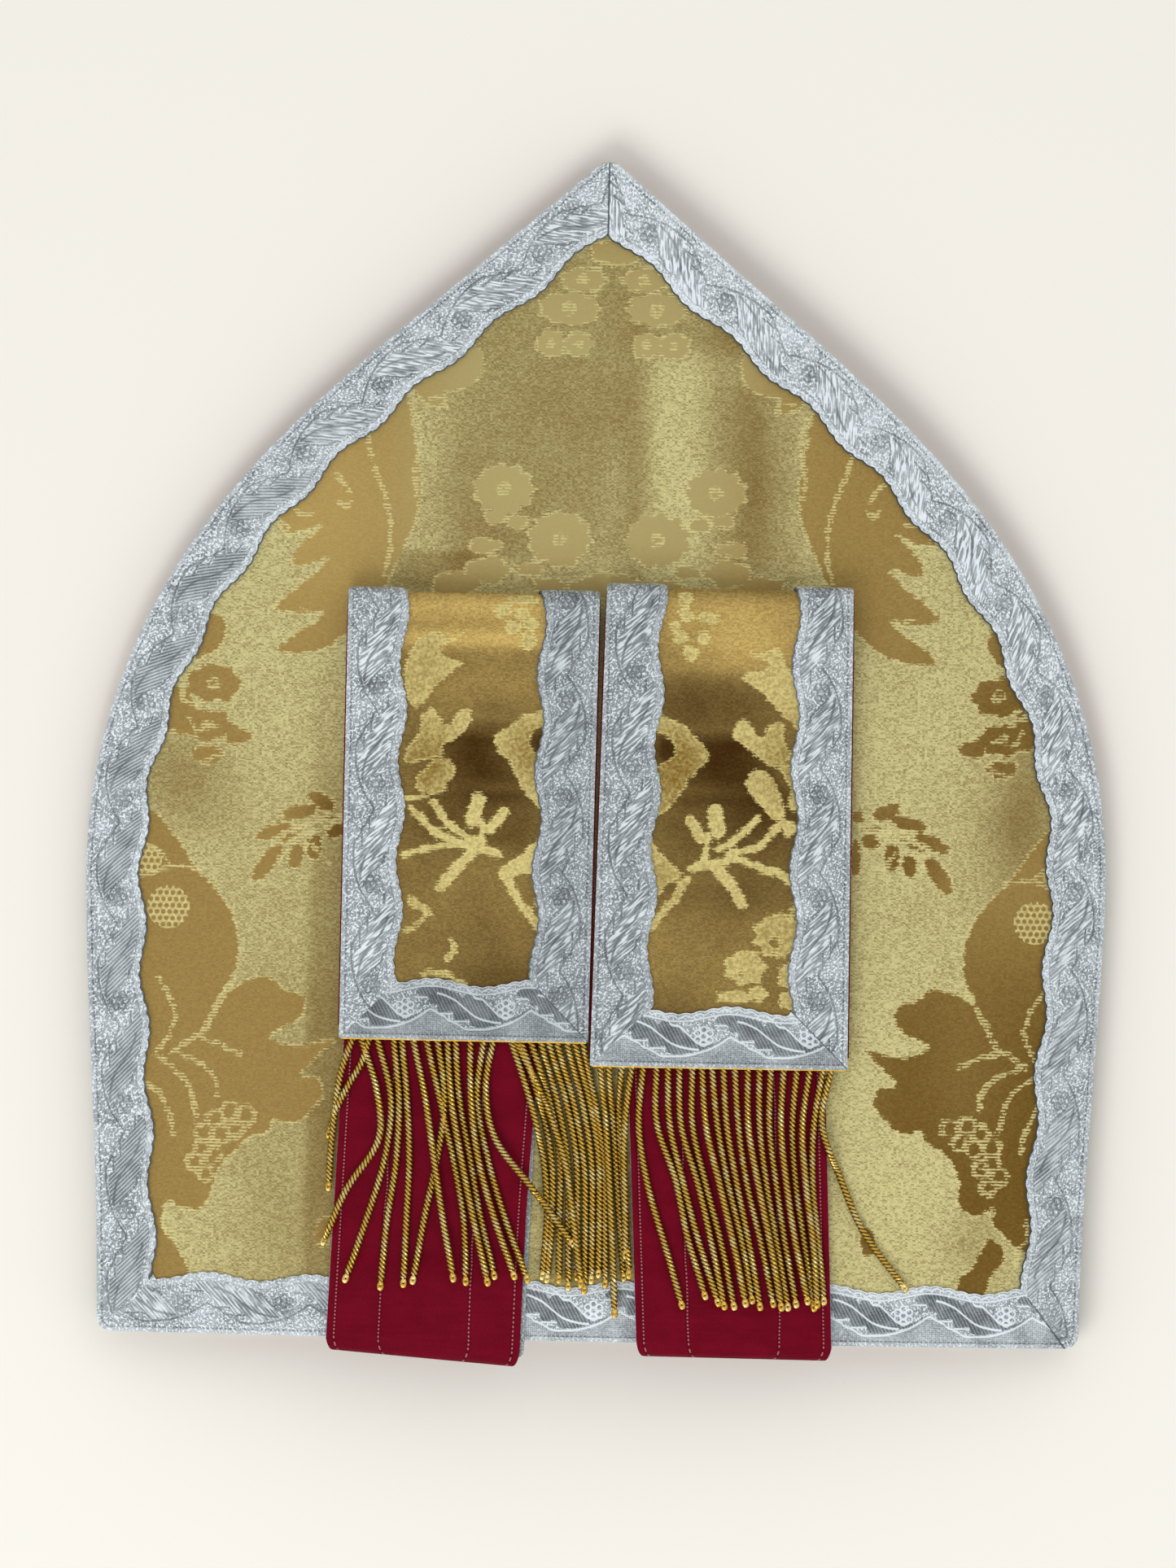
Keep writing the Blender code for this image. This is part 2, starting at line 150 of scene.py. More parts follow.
def reflected(operation):
    """The same with the wire second, as in 1 - mask."""
    return lambda wire, other: wire.math(operation, other, wire)


class Wire:
    """The output of a shader node. Arithmetic on it adds Math nodes to the same finish."""

    def __init__(self, finish, socket):
        self.finish = finish
        self.socket = socket

    def math(self, operation, *values):
        return self.finish.node("Math", {"operation": operation}, dict(enumerate(values)))

    __add__, __radd__ = forward("ADD"), reflected("ADD")
    __sub__, __rsub__ = forward("SUBTRACT"), reflected("SUBTRACT")
    __mul__, __rmul__ = forward("MULTIPLY"), reflected("MULTIPLY")
    __truediv__, __rtruediv__ = forward("DIVIDE"), reflected("DIVIDE")
    __mod__ = forward("FLOORED_MODULO")
    __lt__, __gt__ = forward("LESS_THAN"), forward("GREATER_THAN")
    __abs__, floor, root = forward("ABSOLUTE"), forward("FLOOR"), forward("SQRT")
    sin, cos, angle = forward("SINE"), forward("COSINE"), forward("ARCTAN2")
    least, most = forward("MINIMUM"), forward("MAXIMUM")

    def near(self, other, width, fade):
        """1 within a width of the other wire, and 0 a little further away."""
        return 1 - abs(self - other).step(width, width + fade)

    def step(self, low, high):
        """0 up to low, 1 from high, and a smooth step between."""
        return self.finish.node("MapRange", {"interpolation_type": "SMOOTHSTEP"},
                                {"Value": self, "From Min": low, "From Max": high})

    def toward(self, other, *shares):
        """Part of the way to another number, as far as all the shares together say."""
        way = other - self
        for share in shares:
            way = way * share
        return self + way


print("1 - mask can be written as it is spoken")

# %% [markdown]
# A dye is written as it looks on a screen, 0 to 255. A shader counts light instead, and that is
# worked out here, so the colours in the rest of the script stay easy to compare.

# %% Dyes


def dye(red, green, blue):
    """A screen colour, 0 to 255, as the shader's own linear colour."""
    steps = (c / 255 for c in (red, green, blue))
    return (*((c + 0.055) ** 2.4 / 1.055**2.4 if c > 0.04045 else c / 12.92 for c in steps), 1.0)


print("the silk's crimson is", [round(part, 3) for part in dye(132, 10, 40)])

# %% [markdown]
# Besides sums a finish needs few kinds of node. One method makes any of them, and short methods
# on top of it give what a weave is made from: a place on the cloth, the numbers that a mesh
# carries, soft noise, one random number for each thread, a charted curve and a relief.

# %% A finish


class Finish:
    """A material as it is being made."""

    def __init__(self, name, roughness, metallic=0.0):
        self.material = bpy.data.materials.new(name)
        self.material.use_nodes = True
        self.tree = self.material.node_tree
        self.shader = self.tree.nodes["Principled BSDF"]
        self.shader.inputs["Roughness"].default_value = roughness
        self.shader.inputs["Metallic"].default_value = metallic

    def node(self, kind, settings, sockets, output=0):
        """Any node: its settings first, then the values or wires of its sockets."""
        made = self.tree.nodes.new("ShaderNode" + kind)
        for name, value in settings.items():
            setattr(made, name, value)
        for name, value in sockets.items():
            self.connect(made.inputs[name], value)
        return Wire(self, made.outputs[output])

    def connect(self, socket, value):
        """A socket takes a wire or a plain value."""
        if isinstance(value, Wire):
            self.tree.links.new(value.socket, socket)
        else:
            socket.default_value = value

    def ends(self, **sockets):
        """What the shader itself takes, such as Roughness=..."""
        for name, value in sockets.items():
            self.connect(self.shader.inputs[name.replace("_", " ")], value)

    def blend(self, share, first, second):
        """One colour into another, by a share from 0 to 1."""
        settings = {"data_type": "RGBA"}
        return self.node("Mix", settings, {0: share, 6: first, 7: second}, output=2)

    def parts(self, wire):
        """The three numbers of a vector."""
        return [self.node("SeparateXYZ", {}, {0: wire}, output=k) for k in range(3)]

    def place(self):
        """The point on the object, in millimetres."""
        return [part / MM for part in self.parts(self.node("TexCoord", {}, {}, output="Object"))]

    def written(self, name):
        """The three numbers that the mesh carries under a name."""
        settings = {"attribute_name": name}
        return self.parts(self.node("Attribute", settings, {}, output="Vector"))

    def noise(self, x, y, z, scale, detail=2.0):
        """Soft random numbers round a half."""
        where = self.node("CombineXYZ", {}, {0: x, 1: y, 2: z})
        sockets = {"Vector": where, "Scale": scale, "Detail": detail}
        return self.node("TexNoise", {}, sockets)

    def speck(self, a, b):
        """A random number from 0 to 1 for each whole step of two wires."""
        where = self.node("CombineXYZ", {}, {0: a.floor(), 1: b.floor()})
        settings = {"noise_dimensions": "2D"}
        return self.node("TexWhiteNoise", settings, {"Vector": where}, output="Value")

    def curve(self, wire, rows, long, tall):
        """The value of a charted curve at a wire. Its rows stay within long and tall."""
        made = self.node("FloatCurve", {}, {"Value": wire / long})
        mapping = made.socket.node.mapping
        points = mapping.curves[0].points
        points[0].location = (rows[0][0] / long, rows[0][1] / tall)
        points[1].location = (rows[-1][0] / long, rows[-1][1] / tall)
        for a, b in rows[1:-1]:
            points.new(a / long, b / tall)
        mapping.update()
        return made * tall

    def relief(self, height, depth):
        """A bump, its height from 0 to 1 and its depth in millimetres."""
        sockets = {"Height": height, "Distance": depth * MM, "Strength": 1.0}
        self.connect(self.shader.inputs["Normal"], self.node("Bump", {}, sockets))


print("a finish starts as Blender's own Principled shader")

# %% [markdown]
# The table is a plain pale card, far larger than the picture.

# %% The table
TABLE_SIDE = 6.0
table = Finish("table_card", roughness=0.9)
table.ends(Base_Color=dye(247, 244, 236), Specular_IOR_Level=0.1)


def make_table():
    bm = bmesh.new()
    bmesh.ops.create_grid(bm, x_segments=1, y_segments=1, size=TABLE_SIDE / 2)
    mesh = bpy.data.meshes.new("table")
    bm.to_mesh(mesh)
    bm.free()
    mesh.materials.append(table.material)
    made = bpy.data.objects.new("table", mesh)
    bpy.context.collection.objects.link(made)
    return made


make_table()
print(f"a table of {TABLE_SIDE:.0f} m")

# %% [markdown]
# ## The shape of the shields
# Both shields are cut to one outline. The back shield arches over what lies inside it, and its
# ridge sinks towards the point. The front shield lies flat and curls up at its sides, where it is
# sewn to the back one. A cutter would note a few heights and draw a fair curve through them, so
# that is what the tables hold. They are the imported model's own.

# %% The outline and the ridge
GAP = 0.3  # between pieces that are sewn face to face
HEIGHT = 361.6  # rim to the blunt tip
CORNER_RADIUS = 4.0
PANEL = 2.5  # brocade, stiffener and silk
ARCH_RADIUS = 500.0
SIDE_SEAM_TOP = 145.0
HORNS_APART = 190.0  # from here up the front shield lies flat
DISH = 60.0  # how far in from its side it curls up
BRAID = 1.0
BRAID_WIDTH = 17.5
BASE = GAP + BRAID  # the front shield rests on its braid

Outline = namedtuple("Outline", "height half_width")
OUTLINE = [
    Outline(0.0, 150.6),
    Outline(40.0, 151.6),
    Outline(80.0, 153.8),
    Outline(120.0, 156.0),
    Outline(150.0, 156.4),
    Outline(175.0, 153.6),
    Outline(200.0, 147.0),
    Outline(225.0, 136.3),
    Outline(250.0, 120.8),
    Outline(275.0, 99.8),
    Outline(300.0, 73.6),
    Outline(325.0, 44.4),
    Outline(350.0, 15.4),
    Outline(HEIGHT, 2.0),
]

Ridge = namedtuple("Ridge", "height outside")
RIDGE = [
    Ridge(0.0, 36.0),
    Ridge(80.0, 35.1),
    Ridge(145.0, 34.3),
    Ridge(185.0, 32.9),
    Ridge(225.0, 29.5),
    Ridge(265.0, 23.8),
    Ridge(300.0, 18.4),
    Ridge(330.0, 14.5),
    Ridge(HEIGHT, 12.0),
]


def smooth(table, at):
    """The value at each place on the cubic curve through a table's rows."""
    places, values = (np.array(column, float) for column in zip(*table))
    rises = np.diff(values) / np.diff(places)
    slopes = np.concatenate([rises[:1], (rises[1:] + rises[:-1]) / 2, rises[-1:]])
    at = np.clip(at, places[0], places[-1])
    k = np.clip(np.searchsorted(places, at, side="right") - 1, 0, len(rises) - 1)
    span = places[k + 1] - places[k]
    t = (at - places[k]) / span
    bend = t * (1 - t) * span * ((1 - t) * slopes[k] - t * slopes[k + 1])
    return values[k] + (values[k + 1] - values[k]) * t * t * (3 - 2 * t) + bend


def ease(low, high, at):
    """0 up to low, 1 from high, and a smooth step between."""
    t = np.clip((at - low) / (high - low), 0, 1)
    return t * t * (3 - 2 * t)


def half_width(y):
    """Of both shields at a height, with their rounded corners at the rim."""
    reach = np.clip(CORNER_RADIUS - y, 0, CORNER_RADIUS)
    return smooth(OUTLINE, y) - CORNER_RADIUS + np.sqrt(CORNER_RADIUS**2 - reach**2)


def back_outside(x, y):
    """Height of the back shield's brocade."""
    return smooth(RIDGE, y) - x * x / (2 * ARCH_RADIUS)


def front_outside(x, y):
    """Height of the front shield's brocade, which faces down."""
    width = smooth(OUTLINE, y)
    seam = back_outside(width, y) - 2 * PANEL - GAP - BASE
    lift = seam * (1 - ease(SIDE_SEAM_TOP, HORNS_APART, y))
    curl = np.clip(1 - (width - np.abs(x)) / DISH, 0, None)
    return BASE + lift * curl * curl


print(f"widest {2 * half_width(np.linspace(0, HEIGHT, 400)).max():.1f} mm")

# %% [markdown]
# A line that bends is walked by the distance from its start, as a tape measure would. The braid
# follows the outline that way, and the lappets follow their own folds.

# %% A line to walk along


class Line:
    """A bent line, given by its points, walked by distance."""

    def __init__(self, points):
        self.points = np.array(points, float)
        steps = np.linalg.norm(np.diff(self.points, axis=0), axis=1)
        self.marks = np.concatenate([[0], np.cumsum(steps)])
        self.length = self.marks[-1]
        ways = np.gradient(self.points, self.marks, axis=0)
        self.ways = ways / np.linalg.norm(ways, axis=1)[:, None]

    def read(self, table, distance):
        return np.stack([np.interp(distance, self.marks, column) for column in table.T], -1)

    def at(self, distance):
        return self.read(self.points, distance)

    def aside(self, distance, width):
        """The point to the left of the line, square to it."""
        x, y = self.read(self.ways, distance).T
        return self.at(distance) + np.stack([-y, x], -1) * np.reshape(width, (-1, 1))

    def nearest(self, x, y):
        """How far along the line each point lies, and how far from it."""
        point = np.stack([x, y], -1)
        best = np.full(len(x), np.inf)
        along = np.zeros(len(x))
        for a, b, mark in zip(self.points, self.points[1:], self.marks):
            way = b - a
            share = np.clip((point - a) @ way / (way @ way), 0, 1)
            away = np.linalg.norm(point - a - share[:, None] * way, axis=1)
            closer = away < best
            best[closer] = away[closer]
            along[closer] = mark + share[closer] * np.linalg.norm(way)
        return along, best


CORNER_POINTS, SIDE_POINTS = 7, 150
corner_heights = np.linspace(0, CORNER_RADIUS, CORNER_POINTS)
long_heights = np.linspace(CORNER_RADIUS, HEIGHT, SIDE_POINTS)
side_heights = np.concatenate([corner_heights, long_heights[1:]])
side = Line(np.stack([half_width(side_heights), side_heights], -1))
print(f"each side is {side.length:.0f} mm long")

# %% [markdown]
# ## The figure of the brocade
# A damask's figure is charted on squared paper, and each square is one step of the loom. That is
# why its curves have small teeth. The shields' brocade shows vine leaves, grapes, ferns and
# flowers, nearly the same on both sides of the middle. Each leaf is a short outline here, and the
# script works out for every point of a fine grid how deep it lies inside. The finish cuts that
# depth into steps. A picture could hold the figure too, but it would blur where the steps should
# be crisp.

# %% Charted outlines
AXIS = 2.0  # the figure's own middle, a little right of the shield's
Flower = namedtuple("Flower", "x y reach_x reach_y petals")
Ring = namedtuple("Ring", "x y radius")

LEAVES = {  # on both sides
    "vine lobe": [(-146, 156), (-137, 160), (-129, 152), (-123, 143), (-117, 137), (-111, 128),
                  (-109, 120), (-110, 112), (-113, 106), (-118, 97), (-121, 91), (-146, 80)],
    "feather": [(-66, 297), (-61, 290), (-58, 275), (-56, 262), (-57, 252), (-60, 244),
                (-66, 231), (-70, 223), (-77, 216), (-84, 211), (-92, 209), (-99, 210),
                (-94, 215), (-89, 218), (-85, 222), (-92, 221), (-100, 223), (-95, 228),
                (-90, 232), (-84, 238), (-92, 236), (-95, 237), (-93, 242), (-86, 249),
                (-93, 246), (-98, 246), (-99, 250), (-110, 258), (-100, 280), (-85, 297)],
    "feather bud": [(-70, 305), (-41, 305), (-38, 296), (-43, 291), (-50, 290), (-49, 286),
                    (-54, 286), (-60, 291), (-72, 295)],
    "side bud": [(-126, 222), (-119, 221), (-115, 218), (-116, 212), (-121, 208), (-128, 208)],
    "flower stem": [(-136, 200), (-126, 196), (-124, 190), (-128, 186), (-136, 184)],
    "low bud": [(-84, 29), (-80, 28), (-79, 36), (-83, 35)],
    "arch": [(-11, 230), (-5, 234), (2, 235), (2, 228)],
}
VINE_LEAF_TOP = [
    (-121, 91), (-116, 101), (-112, 105), (-107, 108), (-100, 110), (-95, 106), (-90, 105),
    (-88, 101), (-91, 96), (-99, 92), (-94, 89), (-87, 89), (-79, 91), (-85, 85), (-89, 80),
    (-84, 79), (-82, 74), (-85, 70), (-91, 65), (-97, 66), (-99, 62)]
LEFT_LEAVES = {
    "vine leaf": VINE_LEAF_TOP + [
        (-104, 61), (-109, 56), (-114, 51), (-116, 44), (-119, 38), (-125, 38), (-130, 40),
        (-131, 32), (-127, 27), (-123, 20), (-120, 10), (-146, 10), (-146, 91)],
}
RIGHT_LEAVES = {
    "vine leaf": VINE_LEAF_TOP + [
        (-103, 60), (-107, 56), (-109, 50), (-108.5, 45), (-112, 41), (-116, 40.5), (-120, 43),
        (-119.5, 38), (-122, 35), (-126, 31.5), (-131, 29), (-146, 29), (-146, 91)],
    "low leaf": [(-109, 15), (-109.5, 21), (-113, 24), (-115, 27.5), (-117, 31), (-119, 33.5),
                 (-122, 31.5), (-123.5, 29), (-123, 26), (-121, 23.5), (-119, 21), (-117, 15)],
}
print(len(LEAVES) + len(LEFT_LEAVES) + len(RIGHT_LEAVES), "leaves")

# %% Flowers, the same on both sides
FLOWERS = [
    Flower(-118.5, 199.5, 8.5, 6.0, 7),
    Flower(-120, 186.5, 7.5, 5.0, 7),
    Flower(-111, 183.5, 4.4, 2.9, 3),
    Flower(-120, 177.5, 4.8, 2.8, 5),
    Flower(-127.5, 188.5, 4.5, 4.8, 3),
    Flower(-30.5, 260.5, 9.2, 7.4, 11),
    Flower(-13, 245.5, 9.6, 8.4, 11),
    Flower(-33, 252, 3.6, 2.2, 3),
    Flower(-26, 250.5, 3.4, 2.4, 3),
    Flower(-36, 243, 5.0, 2.4, 3),
    Flower(-35, 235.5, 7.0, 4.2, 5),
    Flower(-45, 231, 7.0, 4.0, 5),
    Flower(-22, 236, 4.2, 2.2, 5),
    Flower(-16, 231, 5.2, 2.6, 5),
    Flower(-7.5, 325.5, 7.0, 3.6, 7),
    Flower(-11.5, 316.5, 9.4, 5.3, 9),
    Flower(-8.5, 305.5, 4.6, 4.0, 7),
    Flower(-17, 305.5, 4.6, 4.0, 7),
    Flower(2, 334, 7.5, 4.0, 5),
]
print(len(FLOWERS), "flowers")

# %% Veins, which are lines
VEINS = {
    "lobe": [(-134, 109), (-130, 103), (-128, 97), (-130, 91), (-134, 86)],
    "leaf": [(-110, 109), (-113, 105), (-115, 100), (-118, 96), (-120, 92), (-125, 89), (-129, 86)],
    "leaf again": [(-111, 108), (-115, 102), (-117, 97), (-120, 93)],
    "short": [(-120, 90), (-115, 89), (-111, 87), (-108, 86)],
    "bent": [(-126, 85), (-120, 83), (-117, 80), (-115, 77), (-115, 73)],
    "long": [(-134, 85), (-130, 82), (-126, 79), (-123, 75), (-122, 70), (-121, 66)],
    "outer": [(-137, 76), (-133, 74), (-131, 70), (-129, 66), (-128, 60)],
    "lobe top": [(-141, 139), (-134, 142), (-127, 143), (-121, 142)],
    "lobe rib": [(-138, 150), (-135, 148), (-131, 144)],
    "feather rib": [(-73, 277), (-71, 268), (-67, 258), (-65, 250), (-65, 240), (-67, 233)],
    "feather side": [(-58, 284), (-56, 275), (-58, 266), (-57, 258)],
    "feather dots": [(-82, 264), (-80, 262), (-78, 259)],
    "feather dots again": [(-81, 256), (-79, 254), (-77, 256)],
    "bud rib": [(-54, 288), (-49, 289), (-49, 285)],
    "finger ribs": [(-92, 223), (-88, 221), (-86, 222)],
    "leaf ribs": [(-100, 250), (-97, 248), (-96, 244)],
    "edge rib": [(-97, 256), (-93, 252), (-89, 252)],
    "fern": [(-99, 152), (-92, 156), (-84, 158), (-77, 159)],
    "fern low": [(-97, 146), (-92, 152), (-86, 155), (-78, 158)],
    "fern inner": [(-88, 152), (-84, 146), (-81, 145)],
    "hatch": [(-128, 200), (-128, 194), (-122, 191)],
    "hatch again": [(-126, 189), (-124, 185), (-117, 186)],
    "hatch low": [(-122, 180), (-118, 180), (-115, 178), (-121, 175)],
    "low leaf": [(-130, 39), (-131, 33), (-128, 31), (-127, 26)],
}
print(len(VEINS), "veins on each side")

# %% Ferns, grapes and nets
FERN = [  # x, y, half length, half width, turn in degrees
    (-76, 162.3, 2.0, 2.2, 0),
    (-84.5, 163.7, 4.8, 2.4, -25),
    (-91.5, 160.2, 6.0, 2.2, 15),
    (-99, 154.3, 6.0, 2.3, 22),
    (-101, 144.5, 7.2, 2.6, 55),
    (-92, 147, 4.0, 2.3, 80),
    (-86.5, 149.7, 4.4, 2.4, 85),
    (-80, 154.5, 3.2, 2.2, 30),
    (-75.3, 149.5, 6.5, 1.6, 90),
    (-82, 158.6, 4.2, 0.6, 0),
    (-93, 153.4, 4.6, 0.8, 32),
]
GRAPES = [Ring(*row) for row in [
    (-106, 67, 2.9), (-111, 68, 2.7), (-115.5, 65.5, 2.5), (-119, 61.5, 2.6), (-113.5, 61, 2.6),
    (-109, 62.5, 2.3), (-119, 56.5, 2.4), (-121.5, 52.5, 2.4), (-116, 54.5, 2.5), (-118, 49, 2.2)]]
NETS = [Ring(-131, 130.5, 6.8), Ring(-138, 145, 5.0)]
NET_MESH = 1.95
print(len(GRAPES), "grapes and", len(FERN), "fern leaves on each side")

# %% [markdown]
# A closed outline is a curve through its points. The distance from a point to its nearest edge,
# with a plus sign inside and a minus sign outside, says how deep the point lies.

# %% How deep a point lies
OVAL_POINTS = 44
PETAL_SWELL = 0.09  # of an oval's reach
CHART_REACH = 3.0  # distances are worked out up to here


def rounded(points, steps=5):
    """A closed outline, its corners eased by a curve through the points."""
    points = np.array(points, float)
    before, after, then = (np.roll(points, shift, axis=0) for shift in (1, -1, -2))
    t = np.linspace(0, 1, steps, endpoint=False)[:, None, None]
    curve = 0.5 * ((2 * points) + (after - before) * t
                   + (2 * before - 5 * points + 4 * after - then) * t**2
                   + (3 * points - before - 3 * after + then) * t**3)
    return curve.transpose(1, 0, 2).reshape(-1, 2)


def oval(x, y, reach_x, reach_y, petals=0, turn=0.0):
    """A closed oval, scalloped if it has petals."""
    angle = np.linspace(0, 2 * math.pi, OVAL_POINTS, endpoint=False)
    swell = 1 + (PETAL_SWELL * np.cos(petals * angle) if petals else 0)
    u, v = reach_x * swell * np.cos(angle), reach_y * swell * np.sin(angle)
    c, s = math.cos(math.radians(turn)), math.sin(math.radians(turn))
    return np.stack([x + u * c - v * s, y + u * s + v * c], -1)


def within(outline, x, y):
    """Which points lie inside a closed outline."""
    result = np.zeros(len(x), bool)
    low, high = outline.min(axis=0), outline.max(axis=0)
    near = np.flatnonzero((x > low[0]) & (x < high[0]) & (y > low[1]) & (y < high[1]))
    px, py = x[near], y[near]
    inside = np.zeros(len(near), bool)
    for (ax, ay), (bx, by) in zip(outline, np.roll(outline, -1, axis=0)):
        if ay != by:
            crossed = (ay > py) != (by > py)
            inside ^= crossed & (px < ax + (py - ay) * (bx - ax) / (by - ay))
    result[near] = inside
    return result


def away(points, x, y, reach):
    """Distance to a bent line, or reach where it is further than that."""
    points = np.array(points, float)
    result = np.full(len(x), reach)
    low, high = points.min(axis=0) - reach, points.max(axis=0) + reach
    near = np.flatnonzero((x > low[0]) & (x < high[0]) & (y > low[1]) & (y < high[1]))
    if len(near):
        result[near] = np.minimum(Line(points).nearest(x[near], y[near])[1], reach)
    return result


def depth(outline, x, y):
    """How deep inside a closed outline each point is, or how far outside if below zero."""
    edge = away(np.concatenate([outline, outline[:1]]), x, y, CHART_REACH)
    return np.where(within(outline, x, y), edge, -edge)


print(f"{len(rounded(LEAVES['feather']))} points round a feather")

# %% [markdown]
# The brocade isn't evenly bright: satin throws light back in broad patches, where the cloth
# turns a little. Those patches are painted into its colour as painted reflection, and the darker
# ones above, beside and between the lappets are painted shadow. They are soft and few, so a few
# numbers for each are enough.

# %% The sheen of the shields
Patch = namedtuple("Patch", "x y reach_x reach_y amount edge", defaults=[2])  # 2 is softest
# painted reflection, and painted shadow above, beside and between the lappets
GROUND_SHEEN = [Patch(*row) for row in [
    (-18, 288, 31, 55, -0.37, 8), (11, 262, 6, 40, -0.2), (40, 272, 10, 40, -0.22, 4),
    (50, 241, 22, 10, -0.14), (-2, 46, 14, 32, -0.45, 4), (-34, 245, 16, 14, -0.1),
    (-55, 266, 8, 40, -0.16), (4, 262, 5, 12, 0.12), (32, 314, 24, 12, -0.34, 4),
    (50, 268, 13, 38, -0.38), (19, 268, 7, 26, 0.1), (-52, 235, 14, 6.5, -0.3, 8),
    (-12, 231, 60, 4, -0.12), (-126, 169, 18, 17, -0.4), (-80, 95, 8, 96, -0.26, 6),
    (-92, 72, 30, 76, -0.29), (76, 150, 3.5, 60, -0.25), (127, 155, 13, 24, -0.2),
    (100, 60, 30, 60, 0.13), (102, 122, 30, 34, -0.09), (-95, 14, 16, 20, -0.1),
    (84, 150, 10, 60, 0.04), (132, 168, 12, 32, -0.36), (118, 32, 12, 16, -0.3)]]
# painted reflection on the figures
FIGURE_SHEEN = [Patch(*row) for row in [
    (-6, 275, 60, 60, 0.14), (-88, 252, 26, 44, 0.26), (82, 255, 26, 40, 0.0),
    (-80, 156, 9, 16, -0.36), (92, 150, 16, 20, -0.3), (118, 58, 40, 64, -0.38, 4),
    (124, 190, 22, 26, -0.3), (114, 84, 14, 24, 0.14)]]
# painted light: where the light falls flat, figure and ground come out nearly alike
ALIKE = [Patch(-4, 285, 56, 58, 0.75, 6)]  # where figure and ground come out nearly alike
print(len(GROUND_SHEEN) + len(FIGURE_SHEEN), "patches of sheen")

# %% The chart of the shields
GROUND_TONE, FIGURE_TONE = 0.74, 0.48  # where no patch lies
EYE = 0.16  # of a flower's reach
EYED_PETALS = 7  # a flower with fewer has no eye
BLANK = [-CHART_REACH, CHART_REACH, -CHART_REACH, 0.5, 0.5, 0.0]  # where nothing is charted


def sheen(patches, x, y, start):
    """The tone at each point: the start and what the patches add to it."""
    tone = np.full(len(x), float(start))
    for p in patches:
        apart = np.abs((x - p.x) / p.reach_x) ** p.edge + np.abs((y - p.y) / p.reach_y) ** p.edge
        tone += p.amount * np.exp(-apart)
    return np.clip(tone, 0, 1)


def shield_chart(x, y):
    """At each point: depth in the figure, distance to a vein, depth in a net, and the painted
    sheen.
    """
    one_side = AXIS - np.abs(x - AXIS)
    shapes = [rounded(points) for points in LEAVES.values()]
    shapes += [oval(f.x, f.y, f.reach_x, f.reach_y, f.petals) for f in FLOWERS]
    shapes += [oval(fx, fy, long, wide, 0, turn) for fx, fy, long, wide, turn in FERN]
    figure = np.max([depth(shape, one_side, y) for shape in shapes], axis=0)
    for leaves, half in ((LEFT_LEAVES, x < AXIS), (RIGHT_LEAVES, x >= AXIS)):
        for points in leaves.values():
            leaf = depth(rounded(points), one_side[half], y[half])
            figure[half] = np.maximum(figure[half], leaf)
    vein = np.min([away(points, one_side, y, CHART_REACH) for points in VEINS.values()], axis=0)
    for ring in GRAPES:
        vein = np.minimum(vein, np.abs(np.hypot(one_side - ring.x, y - ring.y) - ring.radius))
    for f in FLOWERS:
        if f.petals >= EYED_PETALS:
            eye = np.abs(np.hypot(one_side - f.x, y - f.y) - EYE * f.reach_x)
            vein = np.minimum(vein, eye)
    net = np.max([n.radius - np.hypot(one_side - n.x, y - n.y) for n in NETS], axis=0)
    chart = np.stack([figure, vein, np.clip(net, -CHART_REACH, CHART_REACH)], -1)
    tones = [sheen(GROUND_SHEEN, x, y, GROUND_TONE), sheen(FIGURE_SHEEN, x, y, FIGURE_TONE),
             sheen(ALIKE, x, y, 0.0)]
    return chart, np.stack(tones, -1)


def write_chart(mesh, chart, shown):
    """Writes a chart on the points that show, and gives the share of them that is figured."""
    points = np.empty(3 * len(mesh.vertices), np.float32)
    mesh.vertices.foreach_get("co", points)
    x, y, _ = points.reshape(-1, 3).T.astype(float)
    values = np.tile(np.array([BLANK], np.float32), (len(x), 1))
    values[shown] = np.concatenate(chart(x[shown], y[shown]), axis=1)
    for name, part in (("chart", values[:, :3]), ("sheen", values[:, 3:])):
        made = mesh.attributes.new(name, "FLOAT_VECTOR", "POINT")
        made.data.foreach_set("vector", np.ascontiguousarray(part).ravel())
    return round(100 * float((values[shown, 0] > 0).mean()))


print("six numbers for each point of the brocade")

# %% [markdown]
# ## The brocade as a finish
# The ground is a twill: short bright steps that run up to the right. The figures are a smooth
# satin, so light lies on them evenly. The outlines are floats of pale thread, which stand a
# little proud. The chart says which is which, and fine stripes and noise make the threads.

# %% The brocade
Weave = namedtuple("Weave", "deep pale figure_deep figure_pale thread")
SHIELD_WEAVE = Weave(dye(122, 94, 40), dye(214, 206, 146), dye(104, 76, 22), dye(194, 166, 100),
                     dye(226, 214, 148))
LAPPET_WEAVE = Weave(dye(60, 34, 0), dye(222, 190, 112), dye(128, 98, 34), dye(234, 220, 148),
                     dye(232, 218, 140))
TOOTH = 0.95  # height of one step of the figure's edges
TOOTH_LENGTH = 2.7  # along an edge, before it may jog in or out
JOG = 0.9
FLOAT_WIDTH, FLOAT_HEIGHT = 0.8, 0.42  # of one float of bright thread
DIP_LENGTH = 1.7  # along an outline, before its thread may dip under
RIB, RIB_FADED = 0.55, 1.0  # from the middle of a vein
TWILL = (5.0, 5.6)  # how fast its steps repeat, across and up
CLOTH_GLOSS = 0.04  # of the shader's own, since the dyes already hold the shine
WEAVE_DEPTH = 0.14


